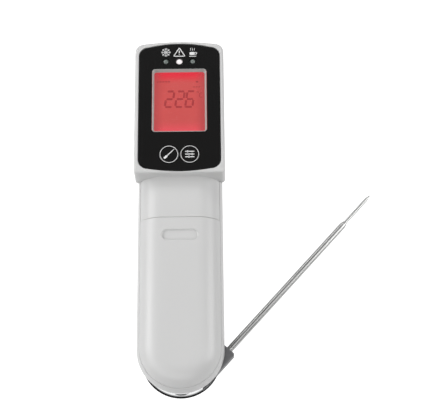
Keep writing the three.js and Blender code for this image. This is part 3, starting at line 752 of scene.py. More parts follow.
screwNames = ["case_screw_1", "case_screw_2", "case_screw_3", "case_screw_4"]
display = {
    "centreY": 94.15,
    "frameHalfWidth": 14.25,
    "frameHalfLength": 18.05,
    "frameCorner": 1.6,
    "viewHalfWidth": 13.05,
    "viewHalfLength": 16.9,
}
keys = {"x": 5.35, "y": 63.3, "holeRadius": 5.15, "stemRadius": 2.8}
lamps = {"pitch": 7.1, "y": 116.6, "holeRadius": 1.75, "radius": 1.45}
plateLook = {
    "cornerLow": 55.6,
    "cornerHigh": 124.75,
    "lowArch": 1.4,
    "highArch": 2,
    "corner": 5,
    "soft": 0.25,
}


def plateBlank(name, grow, lowZ, highZ):
    return archedBlock(
        name,
        (plateLow.x - grow, plateLook["cornerLow"] - grow, lowZ),
        (plateHigh.x + grow, plateLook["cornerHigh"] + grow, highZ),
        plateLook["corner"] + grow,
        plateLook["corner"] + grow,
        plateLook["highArch"],
        plateLook["lowArch"],
    )


def displayHole(name, grow, lowZ, highZ):
    halfWidth, halfLength = display["frameHalfWidth"] + grow, display["frameHalfLength"] + grow
    y = display["centreY"]
    piece = addBlock(name, (-halfWidth, y - halfLength, lowZ), (halfWidth, y + halfLength, highZ))
    return bevelEdges(piece, isUpright, display["frameCorner"], 8)


def keyRods(radius, lowZ, highZ):
    return [
        addPost("key hole", side * keys["x"], keys["y"], lowZ, highZ, radius, 64)
        for side in (-1, 1)
    ]


def lampRods(radius, lowZ, highZ):
    return [
        addPost("lamp hole", i * lamps["pitch"], lamps["y"], lowZ, highZ, radius)
        for i in (-1, 0, 1)
    ]


def makeFrontHousing():
    crest, wall = handle["crestZ"], handle["wall"]
    lowZ, deckZ = frontLow.z, plateLow.z - gap
    housing = headBlank("front_housing_shell", 0, lowZ - 4, head["faceZ"], head["frontRound"])
    neck = handleBlank("neck", 0.2, lowZ - 9, crest, 80, handle["frontRound"])
    neckRoom = handleBlank("neck room", wall, -1, crest - wall, 81, handle["frontRound"] - 1.2)
    carve(neck, wideBlock(-80, frontLow.y, -5, 40))
    carve(neck, wideBlock(head["chinY"] + 1.5, 90, -5, 40))
    weld(housing, neck)
    carve(housing, wideBlock(-80, 140, -5, lowZ))
    carve(neckRoom, wideBlock(head["chinY"] + wall + 1, 90, -5, 40))
    carve(housing, neckRoom)
    carve(housing, headBlank("room", wall + 0.2, lowZ - 8, deckZ - 1.8))
    carve(housing, plateBlank("plate seat", gap, deckZ, 40))
    softenEdges(housing, 0.25, 3, 50)
    carve(housing, displayHole("window", gap, 20, 40))
    carve(housing, *keyRods(keys["stemRadius"], 20, 40), *lampRods(lamps["holeRadius"], 20, 40))
    for name in screwNames:
        low, high, x, y = nodePlace(name)
        post = addPost("post", x, y, lowZ + 0.05, high.z + 2.4, 3, 32)
        carve(post, addPost("thread", x, y, lowZ - 1, high.z + gap, 1.55, 24))
        weld(housing, post)
    return finishPiece(housing, casingWhite, "casing", ["front_housing"])


makeFrontHousing()
print("front housing made")

slot = {
    "lowZ": 7.1,
    "highZ": 15.4,
    "innerX": 12.5,
    "mouthX": 11.2,  # wider beside the hub, below mouthY
    "mouthY": -30.2,
    "topY": 83,
    "liner": 1.2,
}
trim = {"centreY": -36.8, "radius": 20.2, "innerRadius": 18.3, "topY": -42, "lowZ": 1.4, "round": 2.2}
snout = {"y": 104, "halfLength": 18, "radius": 13, "round": 1.8, "lampX": 13.2, "barrelRadius": 8.5}
triggerPlace = {"y": 66, "halfWidth": 10.2, "halfLength": 9, "corner": 3.5}


def triggerBlank(name, grow, lowZ, highZ):
    halfWidth, halfLength = triggerPlace["halfWidth"] + grow, triggerPlace["halfLength"] + grow
    y = triggerPlace["y"]
    piece = addBlock(name, (-halfWidth, y - halfLength, lowZ), (halfWidth, y + halfLength, highZ))
    return bevelEdges(piece, isUpright, triggerPlace["corner"] + grow, 8)


def makeRearHousing():
    wall, highZ, rimZ = handle["wall"], rearHigh.z, handle["rimZ"]
    pivotX, pivotY = probeFold["pivot"].x, probeFold["pivot"].y
    rim = handleBlank("rear_housing_shell", 0, 0, handle["crestZ"], 80, handle["frontRound"])
    carve(rim, wideBlock(-80, 90, -5, rimZ), wideBlock(55, 90, -5, 60))
    tub = handleBlank("tub", handle["step"], 0.02, rimZ + 1, 90, 0, handle["backRound"])
    carve(tub, wideBlock(58, 100, -5, 60))
    backStep, backCorner = head["backStep"], head["backCorner"]
    headBack = headBlank("head back", backStep, 0, highZ + 9, 0, head["backRound"], backCorner)
    housing = weld(rim, tub, headBack, headBlank("head band", 0, head["bandZ"], highZ + 8))
    carve(housing, wideBlock(-80, 140, highZ, 60))
    nose = capsule("nose", (0, snout["y"]), snout["halfLength"], snout["radius"], rearLow.z, 4, 24)
    bevelEdges(nose, atHeight(rearLow.z), snout["round"], 6)
    weld(housing, nose)
    softenEdges(housing, 0.3, 3, 50)

    rimRoom = handleBlank("rim room", wall + 1.3, rimZ + 2, 60, 80)
    carve(rimRoom, wideBlock(60, 100, -5, 80))
    tubRoom = handleBlank("tub room", handle["step"] + 3, wall, 60, 90, 0, 6)
    carve(tubRoom, wideBlock(61, 100, -5, 80))
    carve(housing, rimRoom, tubRoom, headBlank("head room", backStep + wall, wall + 0.2, 60))
    noseHalf, noseRadius = snout["halfLength"] - wall, snout["radius"] - wall
    carve(housing, capsule("nose room", (0, snout["y"]), noseHalf, noseRadius, -8.5, 10))

    channel = addBlock(
        "channel",
        (slot["innerX"] - slot["liner"], -60, slot["lowZ"] - slot["liner"]),
        (40, slot["topY"] + slot["liner"], slot["highZ"] + slot["liner"]),
    )
    mouth = addBlock(
        "mouth",
        (slot["mouthX"] - slot["liner"], -60, slot["lowZ"] - slot["liner"]),
        (14, slot["mouthY"] + slot["liner"], slot["highZ"] + slot["liner"]),
    )
    lining = weld(channel, mouth)
    bounds = handleBlank("inside", handle["step"] + 0.5, 0.6, 18, 90, 0, handle["backRound"] - 0.5)
    carve(bounds, wideBlock(58, 100, -5, 60))
    weld(bounds, headBlank("head inside", backStep + 0.5, 0.5, 18.5, 0, 1.6, backCorner))
    combine(lining, bounds, "INTERSECT")
    weld(housing, lining)
    weld(housing, addPost("boss", pivotX, pivotY, slot["highZ"] + 0.4, 19, 2.8, 32))
    for name in screwNames:
        low, high, x, y = nodePlace(name)
        weld(housing, addPost("post", x, y, 0.8, highZ - 0.05, 3.4, 32))

    seat = wideBlock(-80, trim["topY"] + gap, -2, rimZ - 0.02)
    carve(seat, addPost("hub", 0, trim["centreY"], -3, 30, trim["innerRadius"] - gap, 96))
    carve(housing, seat)
    weld(housing, addPost("boss", pivotX, pivotY, 3.6, slot["lowZ"] + 0.1, 2.2, 32))
    slotHighZ = slot["highZ"] - 0.05
    probeRoom = addBlock("slot", (slot["innerX"], -80, slot["lowZ"]), (40, slot["topY"], slotHighZ))
    combine(housing, probeRoom, solver="FAST")
    mouthLow = (slot["mouthX"], -81, slot["lowZ"] + 0.01)
    carve(
        housing,
        addBlock("slot mouth", mouthLow, (14, slot["mouthY"], slotHighZ - 0.02)),
        addPost("pin hole", pivotX, pivotY, 4.4, 18.4, 1.3, 24),
        triggerBlank("trigger hole", gap, -5, 5),
        addPost("eye hole", 0, snout["y"], -20, 0, snout["barrelRadius"] + gap, 64),
        addPost("lamp hole", -snout["lampX"], snout["y"], -20, 0, 1.75, 32),
        addPost("lamp hole", snout["lampX"], snout["y"], -20, 0, 1.75, 32),
    )
    for name in screwNames:
        low, high, x, y = nodePlace(name)
        carve(housing, addPost("head hole", x, y, -1, 4, 3, 48))
        carve(housing, addPost("shank hole", x, y, 0, 40, 1.55, 24))
    return finishPiece(housing, casingWhite, "casing", ["rear_housing"])


makeRearHousing()
print("rear housing made")


# The bright band round the bottom end, notched where the probe comes out
def makeChromeTrim():
    centreY = trim["centreY"]
    band = addPost("end_trim_chrome", 0, centreY, trim["lowZ"], handle["rimZ"] - gap, trim["radius"], 128)
    bevelEdges(band, atHeight(trim["lowZ"]), trim["round"], 8)
    bevelEdges(band, atHeight(handle["rimZ"] - gap), 0.4, 3)
    tub = handleBlank("tub", handle["step"] - gap, -gap, 40, 90, 0, handle["backRound"])
    combine(tub, addPost("hub", 0, centreY, -3, 50, trim["innerRadius"], 128), "INTERSECT")
    carve(band, tub, wideBlock(trim["topY"], 60, -5, 40))
    softenEdges(band, 0.2, 2, 50)
    pivotX, pivotY = probeFold["pivot"].x, probeFold["pivot"].y
    carve(
        band,
        addBlock("notch", (slot["mouthX"] - gap, -80, slot["lowZ"] - gap), (40, 40, 40)),
        addPost("boss", pivotX, pivotY, -5, 40, 2.5, 32),
    )
    return finishPiece(band, chromePlate, "casing", ["chrome_end_trim"])


makeChromeTrim()
print("end trim made")

# Face, display, keys and lamps


def makeFacePlate():
    plate = plateBlank("face_plate_gloss", 0, plateLow.z, plateHigh.z)
    bevelEdges(plate, atHeight(plateHigh.z), plateLook["soft"], 4)
    carve(plate, displayHole("window", 0.15, 20, 40), *keyRods(keys["holeRadius"], 20, 40))
    carve(plate, *lampRods(lamps["holeRadius"], 20, 40))
    softenEdges(plate, 0.08, 2, 50)
    return finishPiece(plate, faceBlack, "casing", ["face_plate"])


def makeDisplayFrame():
    topZ = nodeBox("lcd_bezel")[1].z
    footZ = nodeBox("lcd_window")[1].z + 0.05
    frameRing = displayHole("display_frame", 0, footZ, topZ)
    bevelEdges(frameRing, atHeight(topZ), 0.15, 3)
    y = display["centreY"]
    halfWidth, halfLength = display["viewHalfWidth"], display["viewHalfLength"]
    low, high = (-halfWidth, y - halfLength, footZ - 1), (halfWidth, y + halfLength, topZ + 1)
    funnel = addBlock("funnel", low, high)
    for vertex in funnel.data.vertices:
        if vertex.co.z > topZ * mm:
            vertex.co.x *= (display["frameHalfWidth"] - 0.1) / halfWidth
            vertex.co.y += 1.15 * mm if vertex.co.y > y * mm else -1.15 * mm
    leaning = lambda a, b: abs(a.z - b.z) > 1
    bevelEdges(funnel, leaning, 1.2, 6)
    carve(frameRing, funnel)
    return finishPiece(frameRing, frameGrey, "casing", ["lcd_bezel"])


def makeDisplayWindow():
    low, high = nodeBox("lcd_window")
    window = displayHole("display_window", 0, low.z, high.z)
    softenEdges(window, 0.1, 2)
    return finishPiece(window, windowClear, "casing", ["lcd_window"])


def stroke(start, end, width, baseZ, thick=0.05):
    start, end = Vector((*start, 0)), Vector((*end, 0))
    along = end - start
    half = along.length / 2
    piece = addBlock("stroke", (-half, -width / 2, baseZ), (half, width / 2, baseZ + thick))
    piece.location = (start + end) / 2 * mm
    piece.rotation_euler.z = math.atan2(along.y, along.x)
    settle(piece)
    return bevelEdges(piece, isUpright, width * 0.3, 2)


def ringStroke(centre, radius, width, baseZ, thick=0.05, sides=64):
    x, y = centre
    ring = addPost("ring", x, y, baseZ, baseZ + thick, radius, sides)
    return carve(ring, addPost("hole", x, y, baseZ - 1, baseZ + 1, radius - width, sides))


# Which of the seven bars are on: top, two upper sides, middle, two lower sides, bottom
digitBars = {"2": "TrMlB", "6": "TLMlRB"}


def digitStrokes(digit, x, y, width, height, baseZ, lean=0.14, bar=1.0):
    def at(across, up):
        return (x + across * width / 2 + (up * height / 2) * lean, y + up * height / 2)

    near = 0.14
    bars = {
        "T": (at(-1 + near, 1), at(1 - near, 1)),
        "M": (at(-1 + near, 0), at(1 - near, 0)),
        "B": (at(-1 + near, -1), at(1 - near, -1)),
        "L": (at(-1, near), at(-1, 1 - near)),
        "r": (at(1, near), at(1, 1 - near)),
        "l": (at(-1, -1 + near), at(-1, -near)),
        "R": (at(1, -1 + near), at(1, -near)),
    }
    return [stroke(*bars[name], bar, baseZ) for name in digitBars[digit]]


def makeDisplayMarks():
    baseZ = nodeBox("lcd_glass")[1].z + 0.04
    y = display["centreY"] + 1.7
    marks = []
    for digit, x in (("2", -5.2), ("2", 0.25), ("6", 5.5)):
        marks += digitStrokes(digit, x, y + 0.2, 3.8, 9.0, baseZ, bar=1.15)
    marks.append(stroke((2.55, y - 4.4), (3.25, y - 4.4), 0.7, baseZ))
    # degree ring and unit, a row of small cells at the top left, two rows of bars at the top right
    marks.append(ringStroke((9.6, y + 4.2), 0.55, 0.25, baseZ, sides=24))
    marks += [stroke((10.6, y + up), (11.8, y + up), 0.4, baseZ) for up in (3.6, 1.2)]
    marks.append(stroke((10.55, y + 1.4), (10.65, y + 3.4), 0.4, baseZ))
    for count, startX, step, up, width in ((5, -12, 1.5, 10.4, 0.9), (3, 7.2, 1.4, 7.2, 0.6)):
        for x in (startX + step * i for i in range(count)):
            marks.append(stroke((x, y + up), (x + 0.9, y + up), width, baseZ))
    marks.append(stroke((8.6, y + 10.2), (9.9, y + 10.2), 1.0, baseZ))
    return finishPiece(joinPieces("display_marks", marks), displayMarks, "casing")


makeFacePlate()
makeDisplayFrame()
makeDisplayWindow()
makeDisplayMarks()
print("face and display made")


def makeKey(name, body, printStrokes):
    low, high, x, y = nodePlace(name)
    radius = (high.x - low.x) / 2
    cap = addPost(name + "_cap", x, y, high.z - 1.5, high.z, radius, 96)
    bevelEdges(cap, atHeight(high.z), 0.2, 4)
    weld(cap, addPost("stem", x, y, low.z, high.z - 1, 2.5, 32))
    finishPiece(cap, faceBlack, body, [name])
    topZ = high.z - 0.01
    marks = [ringStroke((x, y), radius - 0.2, 0.26, topZ, 0.03, 96)]
    marks += [stroke((x + a, y + b), (x + c, y + d), w, topZ, 0.03) for a, b, c, d, w in printStrokes]
    finishPiece(joinPieces(name + "_print", marks), printWhite, body)


# Strokes inside a key's ring: x, y of both ends from its centre, and the width
probeMark = [(-2.5, -2.3, -0.9, -0.7, 1.1), (-1.2, -1.0, 2.0, 2.2, 0.45), (1.8, 2.0, 2.7, 2.9, 0.25)]
modeMark = [(-2.4, 1.5, 2.4, 1.5, 0.45), (-2.4, 0, 2.4, 0, 0.45), (-2.4, -1.5, 2.4, -1.5, 0.45)]
modeMark += [(-1.1, 0.9, -1.1, 2.1, 0.7), (1.2, -0.6, 1.2, 0.6, 0.7), (-0.4, -2.1, -0.4, -0.9, 0.7)]
makeKey("probe_key", "probe_button", probeMark)
makeKey("mode_key", "mode_button", modeMark)


def makeLamp(name, material):
    low, high, x, y = nodePlace(name)
    radius = lamps["radius"]
    lamp = addPost(name + "_lens", x, y, low.z + 2, high.z - 0.02, radius, 48)
    bevelEdges(lamp, atHeight(high.z - 0.02), radius * 0.9, 10)
    weld(lamp, addPost("flange", x, y, low.z, low.z + 2.6, 1.9, 48))
    return finishPiece(lamp, material, "casing", [name])


makeLamp("cold_led", lampDark)
makeLamp("warning_led", lampLit)
makeLamp("hot_led", lampDark)


def turnedStrokes(x, y, angle, strokes, baseZ):
    c, s = math.cos(math.radians(angle)), math.sin(math.radians(angle))
    place = lambda a, b: (x + a * c - b * s, y + a * s + b * c)
    return [stroke(place(a, b), place(d, e), w, baseZ, 0.03) for a, b, d, e, w in strokes]


def makePictograms():
    baseZ = plateHigh.z - 0.01
    y = 121.9
    x = -lamps["pitch"]
    arm = [(0, 0, 2.55, 0, 0.27), (1.5, 0, 2.15, 0.65, 0.2), (1.5, 0, 2.15, -0.65, 0.2)]
    flake = [piece for k in range(8) for piece in turnedStrokes(x, y, 45 * k, arm, baseZ)]
    finishPiece(joinPieces("cold_pictogram", flake), printWhite, "casing")
    corners = [(-3.0, y - 2.3), (3.0, y - 2.3), (0, y + 2.6)]
    sign = [stroke(corners[i], corners[(i + 1) % 3], 0.42, baseZ, 0.03) for i in range(3)]
    for lowY, highY in ((-0.6, 1.0), (-1.5, -1.15)):
        sign.append(stroke((0, y + lowY), (0, y + highY), 0.5, baseZ, 0.03))
    finishPiece(joinPieces("warning_pictogram", sign), printWhite, "casing")
    x = lamps["pitch"]
    cup = [stroke((x - 1.7, y - 0.75), (x + 1.3, y - 0.75), 1.7, baseZ, 0.03)]
    cup.append(ringStroke((x + 1.6, y - 0.65), 0.72, 0.3, baseZ, 0.03, 32))
    cup.append(stroke((x - 1.9, y - 2.4), (x + 1.9, y - 2.4), 0.34, baseZ, 0.03))
    cup += [stroke((x - 1.2 + i, y + 1.0), (x - 1.0 + i, y + 2.4), 0.22, baseZ, 0.03) for i in (0, 1, 2)]
    finishPiece(joinPieces("hot_pictogram", cup), printWhite, "casing")


makePictograms()
print("keys, lamps and pictograms made")

# Folding probe

probe = {
    "hubRadius": 4.05,
    "hubEnd": 12.9,
    "hubLowZ": 7.4,
    "hubThick": 6.8,
    "hubSoft": 0.9,
    "shaftRadius": 1.75,
    "shaftStart": 5.5,
    "shaftEnd": 104.35,
    "tipRadius": 0.95,
    "tipEnd": 124.75,
    "point": 3,
}


# A turned solid: the profile's (radius, height) pairs go round the Z axis
def turned(name, profile, place=(0, 0, 0), steps=48):
    points = [Vector((radius, 0, height)) * mm for radius, height in profile]
    mesh = bpy.data.meshes.new(name)
    mesh.from_pydata(points, [(i, i + 1) for i in range(len(points) - 1)], [])
    piece = bpy.data.objects.new(name, mesh)
    bpy.context.collection.objects.link(piece)
    takeUp(piece)
    bpy.ops.object.mode_set(mode="EDIT")
    bpy.ops.mesh.select_all(action="SELECT")
    bpy.ops.mesh.spin(steps=steps, angle=math.tau, axis=(0, 0, 1), center=(0, 0, 0))
    bpy.ops.mesh.select_all(action="SELECT")
    bpy.ops.mesh.remove_doubles(threshold=0.002 * mm)
    bpy.ops.mesh.normals_make_consistent(inside=False)
    bpy.ops.object.mode_set(mode="OBJECT")
    piece.location = Vector(place) * mm
    return settle(piece)


# From a probe drawn along +Y with its pivot on the Z axis to where it rests
def swingOut(piece):
    piece.rotation_euler.z = -math.radians(probeFold["restAngle"])
    piece.location = Vector((probeFold["pivot"].x, probeFold["pivot"].y, 0)) * mm
    return settle(piece)


# A needle drawn along +Y at the probe's height
def needle(name, profile, steps):
    piece = turned(name, profile, steps=steps)
    piece.rotation_euler.x = -math.pi / 2
    piece.location.z = probeFold["pivot"].z * mm
    return settle(piece)


def makeProbe():
    radius, end = probe["hubRadius"], probe["hubEnd"]
    lowZ, highZ = probe["hubLowZ"], probe["hubLowZ"] + probe["hubThick"]
    midZ = probeFold["pivot"].z
    hub = addBlock("probe_hub_arm", (-radius, -radius, lowZ), (radius, end, highZ))
    bevelEdges(hub, lambda a, b: isUpright(a, b) and a.y < 0, radius - 0.005, 24)
    mergeDoubles(hub, 0.02)
    bevelEdges(hub, lambda a, b: isUpright(a, b) and a.y > end - 0.1, 1.2, 6)
    for z in (lowZ, highZ):
        bevelEdges(hub, atHeight(z), probe["hubSoft"], 5)
    carve(hub, addPost("pin hole", 0, 0, 0, 40, 1.3, 32))
    boreY, boreRadius = probe["shaftStart"] - gap, probe["shaftRadius"] + 0.12
    carve(hub, addRod("bore", (0, boreY, midZ), (0, 40, midZ), boreRadius, 40))
    dish = addPost("dish", 0, 0, highZ - 0.35, highZ + 1, 2.9, 48)
    carve(hub, dish)
    softenEdges(hub, 0.1, 2, 50)
    finishPiece(swingOut(hub), hubGrey, "probe", ["probe_hub"])

    r, tipR = probe["shaftRadius"], probe["tipRadius"]
    start, shaftEnd = probe["shaftStart"], probe["shaftEnd"]
    crimpY = end + 1.2
    shaft = needle(
        "probe_shaft_tube",
        [
            (0, start), (r, start), (r, crimpY), (r - 0.08, crimpY + 0.12),
            (r - 0.08, crimpY + 0.42), (r, crimpY + 0.54), (r, shaftEnd - 2.6),
            (r - 0.12, shaftEnd - 1.7), (r - 0.5, shaftEnd - 0.6), (tipR + 0.15, shaftEnd),
            (tipR + 0.02, shaftEnd), (tipR + 0.02, shaftEnd - 1.5), (0, shaftEnd - 1.5),
        ],
        40,
    )
    finishPiece(swingOut(shaft), steelDrawn, "probe", ["probe_shaft"])
    tipEnd, point = probe["tipEnd"], probe["point"]
    tip = needle(
        "probe_tip_point",
        [
            (0, shaftEnd - 1.3), (tipR - 0.02, shaftEnd - 1.3), (tipR - 0.02, tipEnd - point - 0.5),
            (tipR - 0.1, tipEnd - point), (tipR * 0.55, tipEnd - point * 0.5),
            (0.16, tipEnd - 0.15), (0, tipEnd),
        ],
        32,
    )
    finishPiece(swingOut(tip), steelDrawn, "probe", ["probe_tip"])


makeProbe()


def makePivot():
    x, y = probeFold["pivot"].x, probeFold["pivot"].y
    low, high = nodeBox("pivot_pin")
    pin = turned(
        "pivot_pin_turned",
        [(0, low.z), (0.8, low.z), (1, low.z + 0.2), (1, high.z - 0.2), (0.8, high.z), (0, high.z)],
        (x, y, 0),
        32,
    )
    finishPiece(pin, brassTurned, "casing", ["pivot_pin"])
    low, high = nodeBox("pivot_washer")
    washer = turned(
        "pivot_washer_spring",
        [
            (1.3, low.z), (3.1, low.z), (3.2, low.z + 0.1), (3.2, high.z - 0.1), (3.1, high.z),
            (1.4, high.z), (1.3, high.z - 0.1), (1.3, low.z),
        ],
        (x, y, 0),
        48,
    )
    finishPiece(washer, steelTurned, "casing", ["pivot_washer"])


makePivot()
print("probe made")

# Back: eye, trigger, screws


def makeEye():
    y = snout["y"]
    low, high = nodeBox("ir_barrel")
    throat = 3.4
    stops = 7
    profile = [(7.2, low.z + 0.1), (8.3, low.z), (8.5, low.z + 0.2), (8.5, high.z), (throat, high.z)]
    # light-trapping rings step down the bore behind the window
    boreTop, boreLow = high.z - 1, -5.6
    for i in range(stops):
        z = boreTop + (boreLow - boreTop) * i / stops
        nextZ = boreTop + (boreLow - boreTop) * (i + 1) / stops
        radius = throat + (6.5 - throat) * i / stops
        profile += [(radius, z), (radius + 0.45, (z + nextZ) / 2), (radius, nextZ)]
    profile += [(6.8, boreLow), (6.8, low.z + 0.5), (7.2, low.z + 0.1)]
    barrel = turned("ir_barrel_ringed", profile, (0, y, 0), 72)
    finishPiece(barrel, barrelBlack, "casing", ["ir_barrel"])
    low, high = nodeBox("ir_lens")
    radius = (high.x - low.x) / 2
    rise = (high.z - low.z - 0.7) / 2
    steps = 8
    front = [(radius * i / steps, low.z + rise * (i / steps) ** 2) for i in range(steps + 1)]
    back = [(radius * i / steps, high.z - rise * (i / steps) ** 2) for i in range(steps, -1, -1)]
    lens = turned("ir_window_disc", front + back, (0, y, 0), 64)
    finishPiece(lens, eyeLens, "casing", ["ir_lens"])
    for side in ("left", "right"):
        low, high = nodeBox("aiming_led_" + side)
        x = (low.x + high.x) / 2
        flangeZ = high.z - 1
        dome = [(x, low.z + 1.45 + z) for x, z in arcPoints(0, 0, 1.45, -90, 0, 9)]
        lamp = turned(
            "aiming_lamp_" + side,
            dome + [(1.45, flangeZ), (1.9, flangeZ + 0.05), (1.9, high.z), (0, high.z)],
            (x, y, 0),
            40,
        )
        finishPiece(lamp, lampClear, "casing", ["aiming_led_" + side])


makeEye()


def makeTrigger():
    low, high = nodeBox("trigger")
    y = triggerPlace["y"]
    flangeLowZ, flangeHighZ = 2.8, 4.6
    button = triggerBlank("trigger_button", 0, low.z, flangeHighZ)
    bevelEdges(button, atHeight(low.z), 1.5, 6)
    carve(button, addRod("finger hollow", (0, y - 20, low.z - 16.6), (0, y + 20, low.z - 16.6), 18, 160))
    for i in range(-3, 4):
        ridgeY, ridgeZ = y + i * 1.9, low.z + 0.85
        carve(button, addRod("groove", (-7.4, ridgeY, ridgeZ), (7.4, ridgeY, ridgeZ), 0.42, 16))
    softenEdges(button, 0.15, 2, 55)
    flange = triggerBlank("flange", high.x - triggerPlace["halfWidth"], flangeLowZ, flangeHighZ)
    softenEdges(flange, 0.2, 2)
    weld(button, flange, addBlock("rib", (-1.5, 60, flangeHighZ - 0.5), (1.5, 63, high.z)))
    return finishPiece(button, triggerRubber, "trigger_lever", ["trigger"])


makeTrigger()


def makeScrew(name):
    low, high, x, y = nodePlace(name)
    head = [(0, 0), (1.9, 0), (2.4, 0.2), (2.7, 0.65), (2.7, 2), (1.25, 2)]
    head = [(radius, low.z + up) for radius, up in head]
    thread = []
    z = low.z + 3
    while z < high.z - 2.6:
        thread += [(1.0, z), (1.25, z + 0.3), (1.0, z + 0.6)]
        z += 0.9
    point = [(1.0, high.z - 1.6), (0.2, high.z), (0, high.z)]
    screw = turned(name + "_cross", head + thread + point, (x, y, 0), 32)
    for halfX, halfY in ((1.6, 0.34), (0.34, 1.6)):
        corners = (x - halfX, y - halfY, low.z - 1), (x + halfX, y + halfY, low.z + 1.1)
        carve(screw, addBlock("cross", *corners))
    softenEdges(screw, 0.06, 1, 60)
    return finishPiece(screw, steelTurned, "casing", [name])


for name in screwNames:
    makeScrew(name)
print("eye, trigger and screws made")

# Battery compartment


def makeCell(name, plusSide):
    low, high = nodeBox(name)
    x, z = (low.x + high.x) / 2, (low.z + high.z) / 2
    length, radius = high.y - low.y, (high.x - low.x) / 2
    shoulder = length - 1
    profile = [
        (0, 0.15), (3.1, 0.15), (3.3, 0), (radius - 0.5, 0), (radius, 0.4), (radius, 1.1),
        (radius - 0.12, 1.3), (radius, 1.5), (radius, shoulder - 0.5), (radius - 0.4, shoulder),
        (radius - 0.9, shoulder), (radius - 1.1, shoulder - 0.2), (2.2, shoulder - 0.1),
        (1.95, shoulder + 0.1),
        (1.9, length - 0.25), (1.7, length), (0, length),
    ]
    body = turned(name + "_cell", profile, steps=56)
    body.rotation_euler.x = -math.pi / 2 if plusSide > 0 else math.pi / 2
    body.location = Vector((x, low.y if plusSide > 0 else high.y, z)) * mm
    settle(body)
    return finishPiece(body, cellSleeve, "casing", [name])


makeCell("battery_left", 1)
makeCell("battery_right", -1)


def newTube(name, radius):
    curve = bpy.data.curves.new(name, "CURVE")
    curve.dimensions = "3D"
    curve.bevel_depth = radius * mm
    curve.bevel_resolution = 3
    curve.use_fill_caps = True
    return curve


def tubeFrom(curve, name):
    tube = bpy.data.objects.new(name, curve)
    bpy.context.collection.objects.link(tube)
    takeUp(tube)
    bpy.ops.object.convert(target="MESH")
    return mergeDoubles(bpy.context.object, 0.001)


# A wire wound in a coil along Z, from lowZ to highZ, wider or narrower towards the top
def makeCoil(name, lowZ, highZ, lowRadius, highRadius, turns, wireRadius):
    curve = newTube(name, wireRadius)
    path = curve.splines.new("POLY")
    steps = int(turns * 28)
    path.points.add(steps)
    inner = wireRadius
    for i, point in enumerate(path.points):
        t = i / steps
        rise = min(max((t - 0.1) / 0.8, 0), 1)
        radius = lowRadius + (highRadius - lowRadius) * rise - inner
        angle = turns * math.tau * t
        z = lowZ + inner + (highZ - lowZ - 2 * inner) * rise
        point.co = (radius * mm * math.cos(angle), radius * mm * math.sin(angle), z * mm, 1)
    return tubeFrom(curve, name)


def makeContactSpring(name, side):
    low, high = nodeBox(name)
    coil = makeCoil(name + "_wound", 0, high.y - low.y, 3.6, 1.6, 3.5, 0.3)
    coil.rotation_euler.x = -math.pi / 2 if side > 0 else math.pi / 2
    middleX, middleZ = (low.x + high.x) / 2, (low.z + high.z) / 2
    coil.location = Vector((middleX, low.y if side > 0 else high.y, middleZ)) * mm
    settle(coil)
    return finishPiece(coil, springSteel, "casing", [name], 60)


makeContactSpring("contact_spring_left", 1)
makeContactSpring("contact_spring_right", -1)


# A lead bent smoothly through the given points
def makeLead(name, points, material):
    curve = newTube(name, 0.6)
    curve.resolution_u = 10
    path = curve.splines.new("BEZIER")
    path.bezier_points.add(len(points) - 1)
    for knot, place in zip(path.bezier_points, points):
        knot.co = Vector(place) * mm
        knot.handle_left_type = knot.handle_right_type = "AUTO"
    lead = tubeFrom(curve, name + "_sleeve")
    return finishPiece(lead, material, "casing", [name], 60)


boardFootZ = nodeBox("main_board")[0].z - 1.1
for name, x, material, slotName in (
    ("battery_lead_red", -4, redWire, "wire_red"),
    ("battery_lead_black", -1, blackWire, "wire_black"),
):
    makeLead(name, [(x, 23.4, 17), (x, 34, 17), (x, 46, 21), (x, 62, boardFootZ)], material)
probeLeadPath = [(15, -38, 17.5), (15, -10, 17.5), (15, 20, 17.5), (15, 45, 18.5), (13, 62, boardFootZ)]
makeLead("probe_lead", probeLeadPath, greyWire)
print("battery compartment made")

# Pieces kept from the CAD: their finishes

keptFinish = {
    "housing_seal": sealRubber,
    "lcd_glass": displayRed,
    "lcd_backlight": backlightRed,
    "zebra_strip": sealRubber,
    "main_board": boardGreen,
    "sensor_board": boardGreen,
    "probe_switch": chipBlack,
    "mode_switch": chipBlack,
    "trigger_switch": chipBlack,
    "controller_chip": chipBlack,
    "buzzer": chipBlack,
    "board_connector": trayGrey,
    "ir_sensor": steelTurned,
    "trigger_spring": springSteel,
    "battery_tray": trayGrey,
    "contact_plate_left": springSteel,
    "contact_plate_right": springSteel,
}
for name, material in keptFinish.items():
    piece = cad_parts[name]
    piece.data.materials.clear()
    piece.data.materials.append(material)
    closed = piece.modifiers.new("closed seams", "WELD")
    closed.merge_threshold = 0.001 * mm
    if name == "trigger_spring":
        rounded = piece.modifiers.new("round wire", "SUBSURF")
        rounded.levels = rounded.render_levels = 2
    else:
        soft = piece.modifiers.new("soft edges", "BEVEL")
        soft.width = 0.1 * mm
        soft.segments = 2
        soft.limit_method = "ANGLE"
        soft.angle_limit = math.radians(50)

# Studio

studio = {
    "target": Vector((18, 35, 28.5)),
    "distance": 600,
    "elevation": 70,
    "roll": -0.65,
    "lens": 98.46,
    "floorSlope": 0.0748,
    "floorY": -48,
    "floorGlow": 0.02,  # what its light adds to everything
    "floorSeen": 1.0,  # added where the camera sees it
    "floorMirrored": 0.8,  # added where it is mirrored
    "floorPaint": 0.35,
    # painted contact shadows on the floor, dark in mirrors only: centre, half size, and the share of it
    # that is fully dark
    "paintedShadowSpots": [((0, -36.8), (22.5, 22.5), 0.96), ((0, -60.2), (8.5, 1.3), 0.7)],
}


